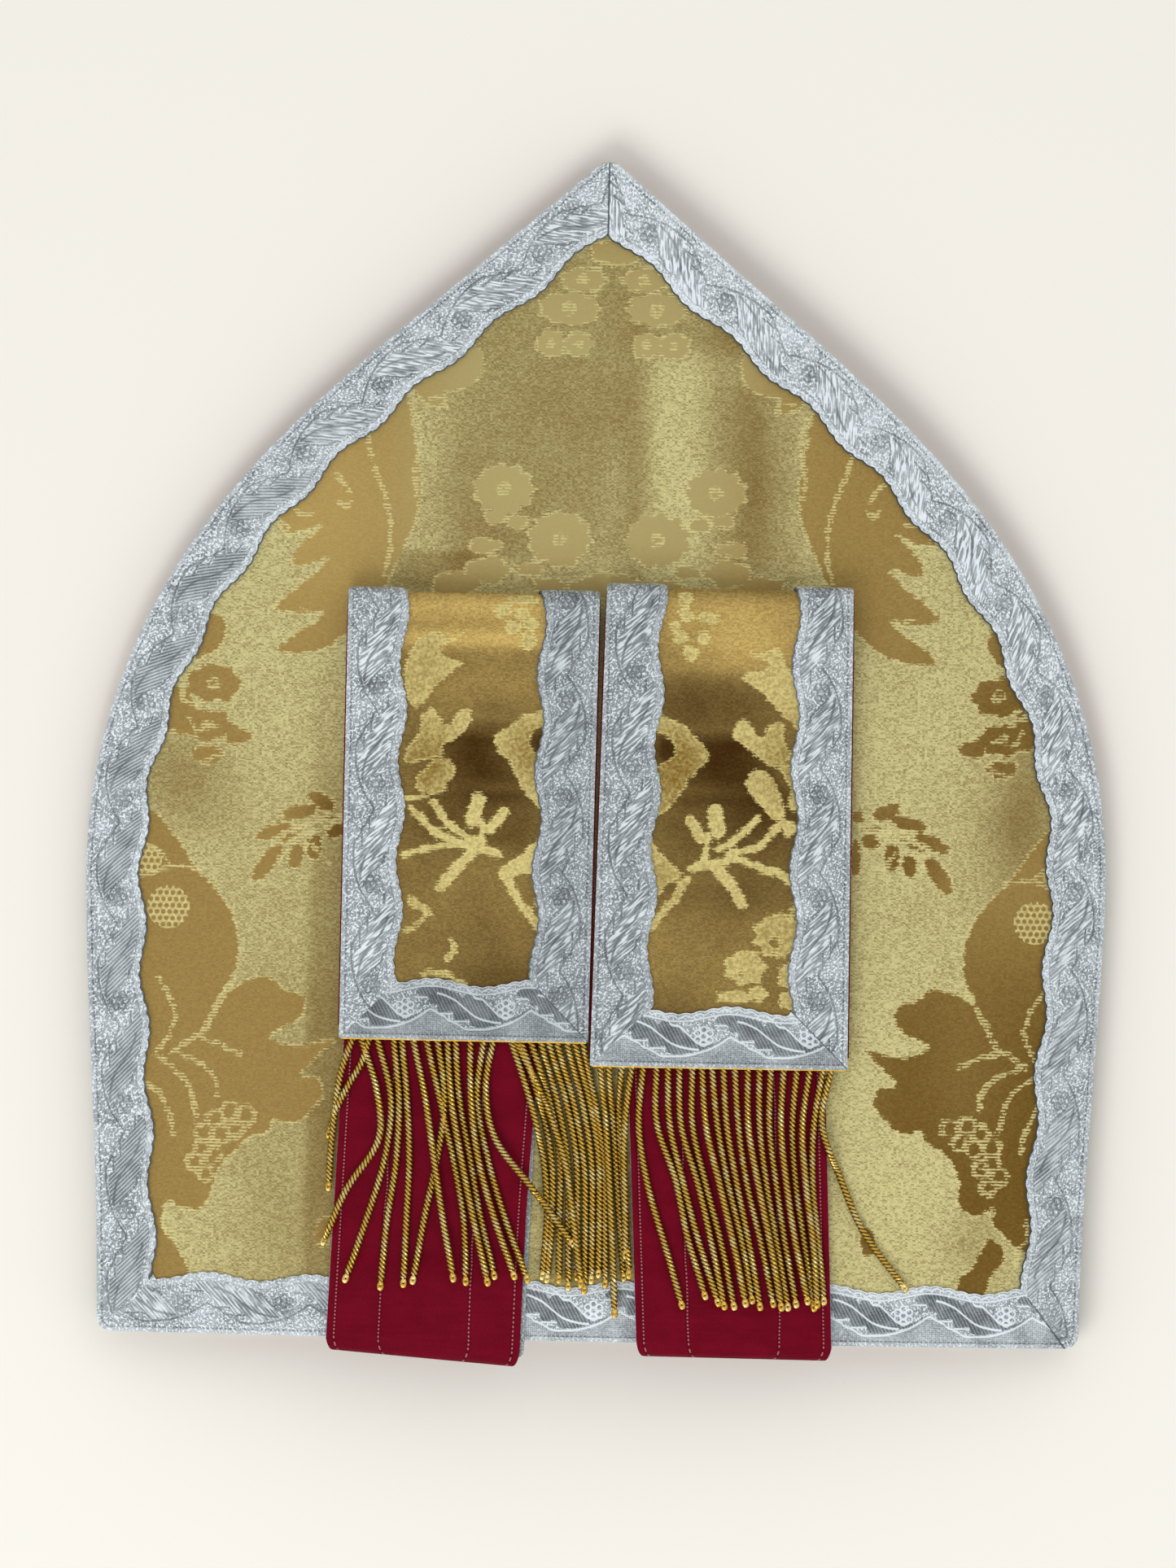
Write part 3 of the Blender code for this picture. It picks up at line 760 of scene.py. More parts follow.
def brocade(name, weave, grain, pale_figure):
    """Grain is how strongly the twill shows. It reads the chart and the painted sheen from the
    mesh.
    """
    made = Finish(name, roughness=0.45)
    x, y, z = made.place()
    depth_in, vein, net = made.written("chart")
    ground_painted_sheen, figure_painted_sheen, alike = made.written("sheen")
    row = y / TOOTH
    jog = made.speck(row, x / TOOTH_LENGTH) - 0.5
    edge = depth_in + jog * JOG
    figure = edge.step(-0.12, 0.12)
    spark = made.speck(x / FLOAT_WIDTH, y / FLOAT_HEIGHT)
    dash = (row % 1.0).near(0.5, 0.16, 0.12)
    rim = edge.near(0.0, 0.3, 0.35) * made.speck(row + 0.5, x / DIP_LENGTH).step(0.1, 0.3)
    rib = 1 - (vein + jog * JOG).step(RIB, RIB_FADED)
    thread = rim.most(rib) * (dash * 0.8 + spark.step(0.35, 0.8) * 0.45).least(1.0)
    net_row = y / NET_MESH
    net_column = (AXIS - abs(x - AXIS)) / NET_MESH + (net_row.floor() % 2.0) * 0.5
    across, along = (net_column % 1.0) - 0.5, (net_row % 1.0) - 0.5
    hole = (across * across + along * along).root()
    thread = thread.most(hole.step(0.3, 0.42) * net.step(0.0, 0.4) * (0.45 + spark * 0.5))

    wander = made.noise(x, y, z, 0.3) * 3.0
    twill = (x * TWILL[0] + y * TWILL[1] + wander).sin() * 0.5 + 0.5
    streak = made.noise(x * 0.8 + y, (y - x) * 0.45, z, 3.2).step(0.36, 0.64)
    cloud = made.noise(x, y, z, 0.05).step(0.3, 0.7) - 0.5
    coarse = twill * 0.1 + streak * 0.3 + spark * 0.6
    # the ground is paler or darker by the painted sheen: painted reflection and painted shadow
    share = ground_painted_sheen + cloud * 0.07
    shown = (share * share * 1.4 + 0.24) * grain
    ground = made.blend((share + (coarse - 0.5) * shown).step(-0.1, 1.1),
                        weave.deep, weave.pale)

    fine = made.noise(x, y * 1.3, z, 2.4)
    mottle = made.noise(x, y, z, 0.9).step(0.3, 0.7)
    wool = (fine - 0.5) * 0.3 + (spark - 0.5) * 0.12 + (mottle - 0.5) * 0.28 * pale_figure
    satin = made.blend((figure_painted_sheen + wool).step(-0.1, 1.1), weave.figure_deep, weave.figure_pale)
    # painted light: where the light falls flat, the figure takes the ground's colour
    satin = made.blend(alike, satin, made.blend(figure_painted_sheen, weave.deep, weave.pale))
    colour = made.blend(figure, ground, satin)
    # the pale threads are brightened or dimmed by the same painted sheen
    lit = (ground_painted_sheen * 0.5 + 0.55).least(1.0)
    colour = made.blend(thread * lit, colour, weave.thread)
    made.ends(Base_Color=colour, Specular_IOR_Level=CLOTH_GLOSS)
    height = coarse * (1 - figure) * 0.7 + figure * (0.7 + fine * 0.3 * pale_figure)
    made.relief(height + thread * 0.5, WEAVE_DEPTH)
    return made.material


shield_brocade = brocade("gold_brocade", SHIELD_WEAVE, grain=1.0, pale_figure=0.0)
lappet_brocade = brocade("lappet_brocade", LAPPET_WEAVE, grain=0.5, pale_figure=1.0)
print("two weaves of one brocade")

# %% [markdown]
# The lining is crimson silk, a plain weave with a slight slub. Rows of pale stitches show on the
# lappets' lining, where the braid on the other side is sewn on. The stitches lie at fixed
# distances from the edges, so the lining carries its own width and length as numbers.

# %% The silk
STITCH_ROWS = (2.3, 15.8)  # from each edge
STITCH = 1.1
STITCHES_WANDER = 1.6
ROOT = 18.0  # of a lappet, hidden inside the rim
TURN = 8.0  # from there to the middle of its turn round the rim
RUMPLE = 7.0  # how much the lining creases where it is turned round the rim
RUMPLED, SMOOTH_AGAIN = 2.0, 26.0  # from the middle of that turn
SILK_DEPTH = 0.12


def silk(name, stitched):
    """Crimson silk. If stitched, it reads width: millimetres from the left, right and root."""
    made = Finish(name, roughness=0.6)
    x, y, z = made.place()
    slub = made.noise(x * 0.7, y * 2.6, z, 1.9)
    fine = made.noise(x * 2.4, y * 1.1, z, 2.4)
    soft = made.noise(x, y * 1.6, z, 0.1).step(0.3, 0.7)
    share = slub * 0.4 + fine * 0.35 + soft * 0.12
    colour = made.blend(share.step(0.1, 0.9), dye(92, 2, 20), dye(132, 10, 40))
    height = slub * 0.5 + fine * 0.4
    if stitched:
        left, right, along = made.written("width")
        crease = made.noise(x * 0.12, y, z, 0.35, detail=1.0)
        turned = 1 - abs(along - (ROOT + TURN)).step(RUMPLED, SMOOTH_AGAIN)
        wobble = (made.noise(x * 0.4, y * 0.4, z, 0.16, detail=1.0) - 0.5) * STITCHES_WANDER
        row = abs(left - STITCH_ROWS[0]).least(abs(left - STITCH_ROWS[1] + wobble))
        row = row.least(abs(right - STITCH_ROWS[0])).least(abs(right - STITCH_ROWS[1] - wobble))
        dash = ((along / STITCH) % 1.0).step(0.45, 0.55)
        seam = 1 - row.step(0.2, 0.9)
        stitch = (1 - row.step(0.14, 0.3)) * dash
        colour = made.blend(seam * 0.35, colour, dye(78, 0, 14))
        colour = made.blend(stitch * 0.55, colour, dye(208, 150, 146))
        height = height - seam * 1.5 + stitch * 0.7 + crease * RUMPLE * turned
    made.ends(Base_Color=colour, Specular_IOR_Level=CLOTH_GLOSS)
    made.relief(height, SILK_DEPTH)
    return made.material


plain_silk = silk("crimson_silk", stitched=False)
stitched_silk = silk("stitched_silk", stitched=True)
print(f"a stitch every {STITCH} mm")

# %% [markdown]
# ## The shields
# Each shield is one closed shell. Its brocade face is a grid of small squares, trimmed where the
# braid hides it. From there an edge runs out to the outline, round the wall and back over the
# silk face in rings. Growing the rings from the grid's own edge keeps the shell closed.

# %% Growing a shield
SQUARE = 1.1  # between the points of the chart
FRONT_SQUARE = SQUARE * 1.3  # the front shield faces the table
WIDEST_AT = 150.0
MIDDLE = np.array([0.0, WIDEST_AT])  # the rings close here
TRIMMED = 0.93  # share of the way out where the braid hides the rest
SILK_RINGS = (0.96, 0.88, 0.79, 0.7, 0.6, 0.5, 0.4, 0.3, 0.2, 0.1)
RIM_REACH, RIM_POINTS = 146, 200  # the straight part of the rim

rim_x = np.linspace(-RIM_REACH, RIM_REACH, RIM_POINTS)
hem_x = np.concatenate([side.points[:, 0], -side.points[::-1, 0], rim_x])
hem_y = np.concatenate([side.points[:, 1], side.points[::-1, 1], np.zeros(RIM_POINTS)])
hem_angle = np.arctan2(hem_y - MIDDLE[1], hem_x - MIDDLE[0])
hem_order = np.argsort(hem_angle)
hem_reach = np.hypot(hem_x - MIDDLE[0], hem_y - MIDDLE[1])[hem_order]
hem_angle = hem_angle[hem_order]


def outward_share(x, y):
    """0 at the middle and 1 at the outline."""
    angle = np.arctan2(y - MIDDLE[1], x - MIDDLE[0])
    full = np.interp(angle, hem_angle, hem_reach, period=2 * math.pi)
    return np.hypot(x - MIDDLE[0], y - MIDDLE[1]) / full


def coordinates(verts):
    """All x and all y of some points."""
    return np.array([v.co[:2] for v in verts]).T


def grow_ring(bm, edges, share):
    """A new ring of faces from an open edge, its far side at a share of the way out."""
    grown = bmesh.ops.extrude_edge_only(bm, edges=edges)["geom"]
    verts = [v for v in grown if isinstance(v, bmesh.types.BMVert)]
    x, y = coordinates(verts)
    stretch = share / outward_share(x, y)
    for v, nx, ny in zip(verts, MIDDLE[0] + (x - MIDDLE[0]) * stretch,
                         MIDDLE[1] + (y - MIDDLE[1]) * stretch):
        v.co.x, v.co.y = nx, ny
    return verts, [e for e in grown if isinstance(e, bmesh.types.BMEdge) and e.is_boundary]


def make_shield(name, brocade_face, wall, square):
    """Brocade on brocade_face(x, y), silk a wall's thickness away. Also says which points show."""
    bm = bmesh.new()
    inner = bm.verts.layers.int.new("inner")
    columns, rows = (round(size / square) for size in (2 * half_width(WIDEST_AT), HEIGHT))
    bmesh.ops.create_grid(bm, x_segments=columns, y_segments=rows, size=0.5)
    bmesh.ops.scale(bm, vec=(columns * square, rows * square, 1), verts=bm.verts)
    bmesh.ops.translate(bm, vec=(0, rows * square / 2, 0), verts=bm.verts)
    share = outward_share(*np.array([f.calc_center_median()[:2] for f in bm.faces]).T)
    trimmed = [f for f, s in zip(bm.faces, share) if s > TRIMMED]
    bmesh.ops.delete(bm, geom=trimmed, context="FACES")
    hem = [e for e in bm.edges if e.is_boundary]
    _, hem = grow_ring(bm, hem, 1.0)
    brocaded = set(bm.faces)
    for ring in (1.0, *SILK_RINGS):
        verts, hem = grow_ring(bm, hem, ring)
        for v in verts:
            v[inner] = 1
    bmesh.ops.pointmerge(bm, verts=verts, merge_co=(*MIDDLE, 0))
    for f in bm.faces:
        f.material_index = int(f not in brocaded)
    lined = np.array([v[inner] for v in bm.verts])
    mesh = bpy.data.meshes.new(name)
    bm.to_mesh(mesh)
    bm.free()
    points = np.empty(3 * len(mesh.vertices), np.float32)
    mesh.vertices.foreach_get("co", points)
    points = points.reshape(-1, 3)
    points[:, 2] = brocade_face(points[:, 0], points[:, 1]) + lined * wall
    mesh.vertices.foreach_set("co", points.ravel())
    return mesh, lined == 0


print(f"{len(SILK_RINGS)} rings of silk inside each shield")

# %% [markdown]
# Every finished piece goes through the same steps: its faces turn outwards, its points go to
# their place in the model, and it gets its finishes and smooth shading.

# %% Hanging a piece up


def turn_out(mesh):
    """Turns a closed mesh's faces outwards."""
    bm = bmesh.new()
    bm.from_mesh(mesh)
    bmesh.ops.recalc_face_normals(bm, faces=bm.faces)
    bm.to_mesh(mesh)
    bm.free()


def hang_up(name, mesh, materials, node, crease=35):
    """The finished piece: in its place, smooth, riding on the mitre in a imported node's stead."""
    turn_out(mesh)
    settle(mesh)
    for material in materials:
        mesh.materials.append(material)
    mesh.shade_smooth()
    mesh.set_sharp_from_angle(angle=math.radians(crease))
    made = bpy.data.objects.new(name, mesh)
    bpy.context.collection.objects.link(made)
    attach(made, "root")
    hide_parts(node)
    triangles = sum(len(p.vertices) - 2 for p in mesh.polygons)
    print(f"{name}: {triangles} triangles")
    return made


print("every piece rides on the mitre's one body")

# %% Both shields


def shield(name, node, brocade_face, wall, square):
    """One shield, charted and in its place."""
    mesh, shown = make_shield(name, brocade_face, wall, square)
    figured = write_chart(mesh, shield_chart, shown)
    print(f"{name}: {figured} % of the brocade is figured")
    return hang_up(name, mesh, [shield_brocade, plain_silk], node)


back_shield = shield("back_shield", "back_panel", back_outside, -PANEL, SQUARE)
front_shield = shield("front_shield", "front_panel", front_outside, PANEL, FRONT_SQUARE)

# %% [markdown]
# ## Cloth from a grid
# Braid, lappets and lining are long strips that bend. Each starts as a flat grid, doubled to give
# it a face and a back. A rule then says where each crossing of the grid goes. Blender's grid and
# extrude operators do the joining, so the strip is closed all round.

# %% A doubled grid


class Strip:
    """A closed strip of rows by columns. row, column and face are the numbers of its points."""

    def __init__(self, name, rows, columns):
        bm = bmesh.new()
        bmesh.ops.create_grid(bm, x_segments=columns, y_segments=rows, size=0.5)
        bmesh.ops.translate(bm, vec=(0.5, 0.5, 0), verts=bm.verts)
        doubled = bmesh.ops.extrude_face_region(bm, geom=bm.faces[:], use_keep_orig=True)["geom"]
        back = [v for v in doubled if isinstance(v, bmesh.types.BMVert)]
        bmesh.ops.translate(bm, vec=(0, 0, 1), verts=back)
        self.mesh = bpy.data.meshes.new(name)
        bm.to_mesh(self.mesh)
        bm.free()
        chart = np.empty(3 * len(self.mesh.vertices), np.float32)
        self.mesh.vertices.foreach_get("co", chart)
        column, row, self.face = chart.reshape(-1, 3).T
        self.row = np.rint(row * rows).astype(int)
        self.column = np.rint(column * columns).astype(int)
        self.corner = np.empty(len(self.mesh.loops), int)
        self.mesh.loops.foreach_get("vertex_index", self.corner)

    def put(self, points):
        """Moves every point to its place."""
        self.mesh.vertices.foreach_set("co", np.asarray(points, np.float32).ravel())
        self.mesh.update()

    def faces_rows(self):
        """For each corner of each face, the middle row of that face."""
        sizes = np.empty(len(self.mesh.polygons), int)
        self.mesh.polygons.foreach_get("loop_total", sizes)
        starts = np.concatenate([[0], np.cumsum(sizes)[:-1]])
        means = np.add.reduceat(self.row[self.corner], starts) / sizes
        return np.repeat(means, sizes)

    def write(self, name, values):
        """Three numbers for each corner of each face."""
        made = self.mesh.attributes.new(name, "FLOAT_VECTOR", "CORNER")
        made.data.foreach_set("vector", np.asarray(values, np.float32).ravel())

    def join(self, reach):
        """Merges points that have come together, such as a loop's two ends."""
        bm = bmesh.new()
        bm.from_mesh(self.mesh)
        bmesh.ops.remove_doubles(bm, verts=bm.verts, dist=reach)
        bm.to_mesh(self.mesh)
        bm.free()


print("a strip has two faces and one edge all round")

# %% [markdown]
# ## The silver braid
# Galloon like this is woven on its own narrow loom: a vine with two hatched leaves and a cluster
# of berries in each repeat, a scalloped inner edge and a firm selvedge outside. The braid is laid
# round the shield and folded or cut on the slant at its corners. Its outline is geometry, and its
# vine is drawn by the finish in the braid's own length and width.

# %% The braid's sizes
WAVE = 1.2
REPEAT = 31.5
SCALLOPS = 8  # in each repeat
SCALLOP = 0.5
SCALLOP_LEVEL = 0.6  # of a scallop's height, which counts as the braid's width
CREST = 0.25  # of a repeat, where the braid is widest and the vine's leaves start
BRAID_STEP = 0.8  # between points along it
COLUMNS = 16
SELVEDGE = 1.1


def braid_width(repeats):
    """Width of the braid at a place that is counted in repeats."""
    wave = WAVE * np.sin(2 * math.pi * repeats)
    scallop = np.abs(np.sin(SCALLOPS * math.pi * repeats)) - SCALLOP_LEVEL
    return BRAID_WIDTH + wave + SCALLOP * scallop


print(f"a repeat of {REPEAT} mm")

# %% [markdown]
# One repeat of the vine is charted as curves: how far each line lies from the selvedge at each
# place along the braid. The finish reads them through Float Curve nodes.

# %% One repeat of the vine, from crest to crest
Bend = namedtuple("Bend", "along across")  # millimetres; across is from the selvedge
SMILE = [Bend(*row) for row in [
    (0, 9.3), (1.2, 8.6), (2.7, 7.8), (4.1, 7.2), (5.1, 6.2), (7.1, 5.4), (8.6, 4.6), (10.5, 3.5),
    (14.5, 3.3), (18.4, 3.6), (21.4, 4.3), (23.3, 4.9), (25.3, 5.7), (27.3, 6.8), (29.2, 8.0),
    (30.7, 9.1), (31.5, 9.3)]]
MIDRIB = [Bend(*row) for row in [
    (0, 14.4), (1.7, 14.2), (3.6, 13.8), (5.6, 13.0), (7.6, 12.0), (9.5, 10.5), (11.5, 8.9),
    (13.5, 7.4), (15.5, 6.5), (17.4, 6.0), (19.4, 5.6), (22, 5.4), (31.5, 5.4)]]
TOP_RIB = [Bend(*row) for row in [
    (0, 16), (11, 15.4), (12.5, 14.4), (13.5, 13.2), (14.5, 12.7), (15.5, 12.7), (16.4, 12.2),
    (17.4, 11.3), (18.4, 10.3), (19.4, 9.3), (20.4, 8.3), (21.4, 7.6), (22.8, 7.1), (24.3, 7.2),
    (25.3, 7.6), (27.3, 8.6), (29.2, 9.7), (31.5, 10.6)]]
LEAF_LOW = [Bend(*row) for row in [
    (0, 10.7), (1.7, 10.6), (2.4, 8.5), (6.9, 8.3), (7.3, 6.1), (12, 6.0), (12.5, 4.4),
    (19.4, 4.3), (21.4, 4.9), (23.3, 5.4), (25.3, 6.2), (27.3, 7.3), (29.2, 8.6), (31.5, 9.9)]]
LEAF_HIGH = [Bend(*row) for row in [
    (0, 16.1), (2.7, 16), (4.6, 15.5), (6.6, 15), (8.6, 14.3), (9.7, 13.1), (10.4, 13.9),
    (11.5, 14.2), (12.5, 13.8), (13.5, 12.8), (14.5, 12.3), (15.5, 12.3), (16.4, 11.8),
    (17.4, 10.9), (18.4, 9.9), (19.4, 8.9), (20.4, 8), (21.4, 7.2), (22.8, 6.7), (25, 7),
    (27.2, 7.9), (29.2, 9.2), (31.5, 10.2)]]
HEAD_LOW = [Bend(*row) for row in [
    (0, 14.6), (26.3, 14.6), (27, 13.7), (30, 13.1), (30.6, 12.3), (31.1, 10.9), (31.5, 10.7)]]
HEAD_HIGH = [Bend(*row) for row in [(0, 14.6), (26.3, 14.6), (28.3, 16.1), (31.5, 16.2)]]
Tooth = namedtuple("Tooth", "start end across")
TEETH = [Tooth(2.7, 6.9, 8.0), Tooth(7.2, 12.2, 5.7), Tooth(26.3, 30.2, 12.9)]
Rib = namedtuple("Rib", "bends start end")
RIBS = [Rib(MIDRIB, 1.7, 22.0), Rib(TOP_RIB, 11.0, 25.5)]
HEAD_START = 26.3
BERRIES = Bend(23.3, 9.5)
BERRY_RING = 2.05  # from the middle berry to the six round it
BERRY, BERRY_FADED = 0.45, 0.75
BERRIES_REACH = 3.3
TALL = 20.0  # every bend stays below it
Stroke = namedtuple("Stroke", "half fade")  # half its width, and how soft its edge is
SMILE_LINE, RIB_LINE, TOOTH_LINE = Stroke(0.18, 0.3), Stroke(0.2, 0.3), Stroke(0.15, 0.2)
FINE_LINE = Stroke(0.12, 0.25)
print(len(TEETH), "teeth in each repeat")

# %% [markdown]
# The finish is built up as the braid is: first where everything lies, then the yarns, then how
# pale each part comes out. Braid that runs up a side catches the light in another way than braid
# that runs across, so the mesh also says how each run shines. That shine is painted light:
# painted glints, a painted brightness for each run and a painted shadow along its inner brink.

# %% The vine


def vine(made, u, v):
    """Leaves, berries, raised lines and the ground's lower edge, in one repeat."""

    def bend(rows):
        return made.curve(u, rows, REPEAT, TALL)

    low, high, head_low, head_high = map(bend, (LEAF_LOW, LEAF_HIGH, HEAD_LOW, HEAD_HIGH))
    leaf = (v - low).step(0.0, 0.3) * (high - v).step(0.0, 0.3)
    head = (v - head_low).step(0.0, 0.3) * (head_high - v).step(0.0, 0.3) * (u > HEAD_START)
    smile = bend(SMILE)
    lines = v.near(smile, *SMILE_LINE)
    for rib in RIBS:
        lines = lines.most(v.near(bend(rib.bends), *RIB_LINE) * (u > rib.start) * (u < rib.end))
    for tooth in TEETH:
        lines = lines.most(v.near(tooth.across, *TOOTH_LINE) * (u > tooth.start) * (u < tooth.end))

    bu, bv = u - BERRIES.along, v - BERRIES.across
    reach = (bu * bu + bv * bv).root()
    sector = bv.angle(bu) % (math.pi / 3) - math.pi / 6
    pu, pv = reach * sector.cos() - BERRY_RING, reach * sector.sin()
    berry = (pu * pu + pv * pv).root().least(reach)
    berries = 1 - berry.step(BERRY, BERRY_FADED)
    lines = lines.most(berry.near(0.95, *FINE_LINE) * (reach < BERRIES_REACH))
    return leaf.most(head), berries, lines, smile


def edging(u, v):
    """The border with its lines, the selvedge with its holes, and the braid's inner brink."""
    edge = (u * (2 * math.pi / REPEAT)).cos() * WAVE + BRAID_WIDTH
    scallop = abs((u * (SCALLOPS * math.pi / REPEAT)).sin())
    border = (v - edge + 2.6).step(0.0, 0.4)
    lines = v.near(edge - 2.3, *FINE_LINE)
    lines = lines.most(v.near(edge - 1.5 + scallop * 0.8, *FINE_LINE))
    lines = lines.most((v - edge + 0.75 - scallop * 0.5).step(0.0, 0.3))
    selvedge = 1 - v.step(SELVEDGE - 0.1, SELVEDGE + 0.2)
    holes = v.near(SELVEDGE + 0.45, 0.12, 0.2) * ((u * 4.6).sin() * 0.4 + 0.6)
    return border, lines, selvedge, holes, edge + (scallop - SCALLOP_LEVEL) * SCALLOP


# %% The braid's finish
DOT_LENGTH, DOT_WIDTH = 0.55, 0.2  # of one metal thread where it shows
# the dark end of the silver: tarnish, and the painted shade on darker runs and along the brink
TARNISH_AND_SHADE, SILVER = dye(44, 50, 54), dye(238, 248, 254)
GALLOON_GLOSS = 0.15  # of the shader's own
GALLOON_DEPTH = 0.2


def galloon(name):
    """Silver braid, from two attributes of three numbers each.

    braid: repeats along it, millimetres across it and millimetres to a cut.
    shine: painted light. 0 for a dark flat leaf, a half for a hatched one and 1 for one that
    glitters, then how bright the run is painted and how dark the painted shadow is along its inner
    brink, where the braid stands off the cloth.
    """
    made = Finish(name, roughness=0.42)
    along, v, cut = made.written("braid")
    shine, paleness, seam = made.written("shine")
    x, y, z = made.place()
    u = ((along - CREST) % 1.0) * REPEAT
    leaf, berries, vine_lines, smile = vine(made, u, v)
    border, edge_lines, selvedge, holes, brink = edging(u, v)
    lines = vine_lines.most(edge_lines)

    stripes = (u * 5.9 + v * 3.1).sin() * 0.5 + 0.5
    mesh = (u * 5.2 + v * 5.2).sin() * (u * 5.2 - v * 5.2).sin() * 0.5 + 0.5
    far = along * REPEAT
    dots = made.speck(far / DOT_LENGTH, v / DOT_WIDTH)
    slanted, aside = far + v * 0.9, v - far * 0.9
    flash = made.noise(slanted, aside * 0.13, shine, 1.15, detail=1.0).step(0.47, 0.6)
    sparkle = made.noise(slanted, aside * 0.7, shine, 1.3, detail=1.0).step(0.5, 0.64)
    hatch = (slanted * 5.0).sin() * 0.5 + 0.5
    # Painted light: side and lit read how a run shines. Runs up a side get hatched leaves and
    # darker lines, and lit runs get painted glints (flash).
    side, lit = shine.step(0.0, 0.5), shine.step(0.5, 1.0)
    slow = made.noise(x, y, z, 0.14).step(0.3, 0.7) - 0.5

    twill = 0.18 + mesh * 0.26 + dots * 0.2 + sparkle * 0.12
    rough = 0.26 + sparkle * 0.56 + dots * 0.24
    ground = twill.toward(rough, (v - smile).step(0.0, 0.3).most(side))
    end_leaf = 0.09 + stripes * 0.2 + dots * 0.12
    side_leaf = 0.14 + hatch * 0.36 + dots * 0.1 + lit * (0.1 + flash * 0.58 - hatch * 0.26)
    tone = ground.toward(end_leaf.toward(side_leaf, side), leaf)
    tone = tone.toward(0.36 + dots * 0.24 + sparkle * 0.4, border)
    tone = tone.toward(0.2 + dots * 0.2 + sparkle * 0.3, berries, 1 - side * 0.5)
    tone = tone.toward(0.86 - side * 0.68, lines, 1 - side * 0.3, 1 - border * side)
    tone = tone.toward(0.46 + sparkle * 0.35, selvedge, 0.8)
    tone = tone * (1 - holes * 0.45)
    # painted light: each run is made brighter or darker by its painted brightness
    tone = (tone + slow * 0.16) * paleness * (1 - 0.8 * cut.near(0.0, 0.15, 0.25))
    # painted shadow along the braid's inner brink, where it stands off the cloth; seam sets how
    # dark
    tone = tone * (1 - (v - brink + 0.52).step(0.0, 0.15) * seam)
    colour = made.blend(tone.step(-0.12, 1.02), TARNISH_AND_SHADE, SILVER)
    made.ends(Base_Color=colour, Specular_IOR_Level=GALLOON_GLOSS)
    height = leaf * (0.3 + stripes * 0.3) + lines * 0.5 + berries * 0.4 + dots * 0.25
    made.relief(height - holes * 0.8 + selvedge * 0.4, GALLOON_DEPTH)
    return made.material


silver_galloon = galloon("silver_galloon")
print("silver braid, ready to lay")

# %% [markdown]
# The braid's rounded section comes from its thickness: full in the middle and thinner at both
# edges, so that the light finds an edge to catch. Braid is laid in runs, each with its own count
# of repeats and its own shine, and a run ends where the braid is cut or folded.

# %% Laying braid
# A run's last number is painted light: how bright the whole run is painted.
Edge = namedtuple("Edge", "crest repeat paleness", defaults=[1.0])  # of one run of braid
Run = namedtuple("Run", "first last place shine")  # its rows, then what its finish reads
THINNED = 0.38  # of the thickness, lost at the braid's edges
THINNED_OVER = 0.09  # of the width
NO_CUT = 9.0  # any distance that is clear of a cut
CUT_SLANT = 0.7  # a cut at 45 degrees is that much nearer than it is along the braid


def lustre(like, shine, paleness, seam):
    """The three numbers of painted light: shine, brightness and the shadow along the inner brink,
    a row for each of the points that it is like.
    """
    return np.stack([np.ones(len(like)) * part for part in (shine, paleness, seam)], -1)


def steady(**shines):
    """The same shine all along a run."""
    return lambda a, b: lustre(a, **shines)


def uncut(count, across):
    """What the finish reads as braid, clear of any cut."""
    return np.stack([count, across, np.full(len(across), NO_CUT)], -1)


def braid_thickness(share):
    """Thickness across the braid, from its outer edge at 0 to its inner edge at 1."""
    edge = np.minimum(share, 1 - share)
    return BRAID * (1 - THINNED + THINNED * ease(0, THINNED_OVER, edge))


def lay_braid(name, outer, inner, runs, onto, columns=COLUMNS):
    """Braid between two lines of points. onto(a, b, up) puts it on the cloth."""
    strip = Strip(name, len(outer) - 1, columns)
    share = strip.column / columns
    flat = outer[strip.row] * (1 - share)[:, None] + inner[strip.row] * share[:, None]
    a, b = flat.T
    up = np.where(strip.face > 0.5, GAP + braid_thickness(share), GAP)
    middle_row = strip.faces_rows()
    marks = np.zeros((len(strip.corner), 3))
    shines = np.zeros((len(strip.corner), 3))
    for run in runs:
        mine = (middle_row > run.first) & (middle_row < run.last)
        vertices = strip.corner[mine]
        marks[mine] = run.place(a[vertices], b[vertices])
        shines[mine] = run.shine(a[vertices], b[vertices])
    strip.write("braid", marks)
    strip.write("shine", shines)
    strip.put(onto(a, b, up))
    return strip


def repeats_at(edge, distance):
    """The braid's own count at a distance along it. Crests lie a quarter after whole numbers."""
    return (distance - edge.crest) / edge.repeat + CREST


print(f"braid of {BRAID_WIDTH} mm")

# %% [markdown]
# On a shield the braid goes up the right side, down the left one and back along the rim. It is
# mitred at the right corner and folded at the tip.

# %% Braid round the shields
RIGHT_SIDE = Edge(21.5, 32.4)
LEFT_SIDE = Edge(30.9, 32.0)
RIM = Edge(105.0, 31.65)
TRIES = 2000  # along a side, to find where its inner edge starts and ends


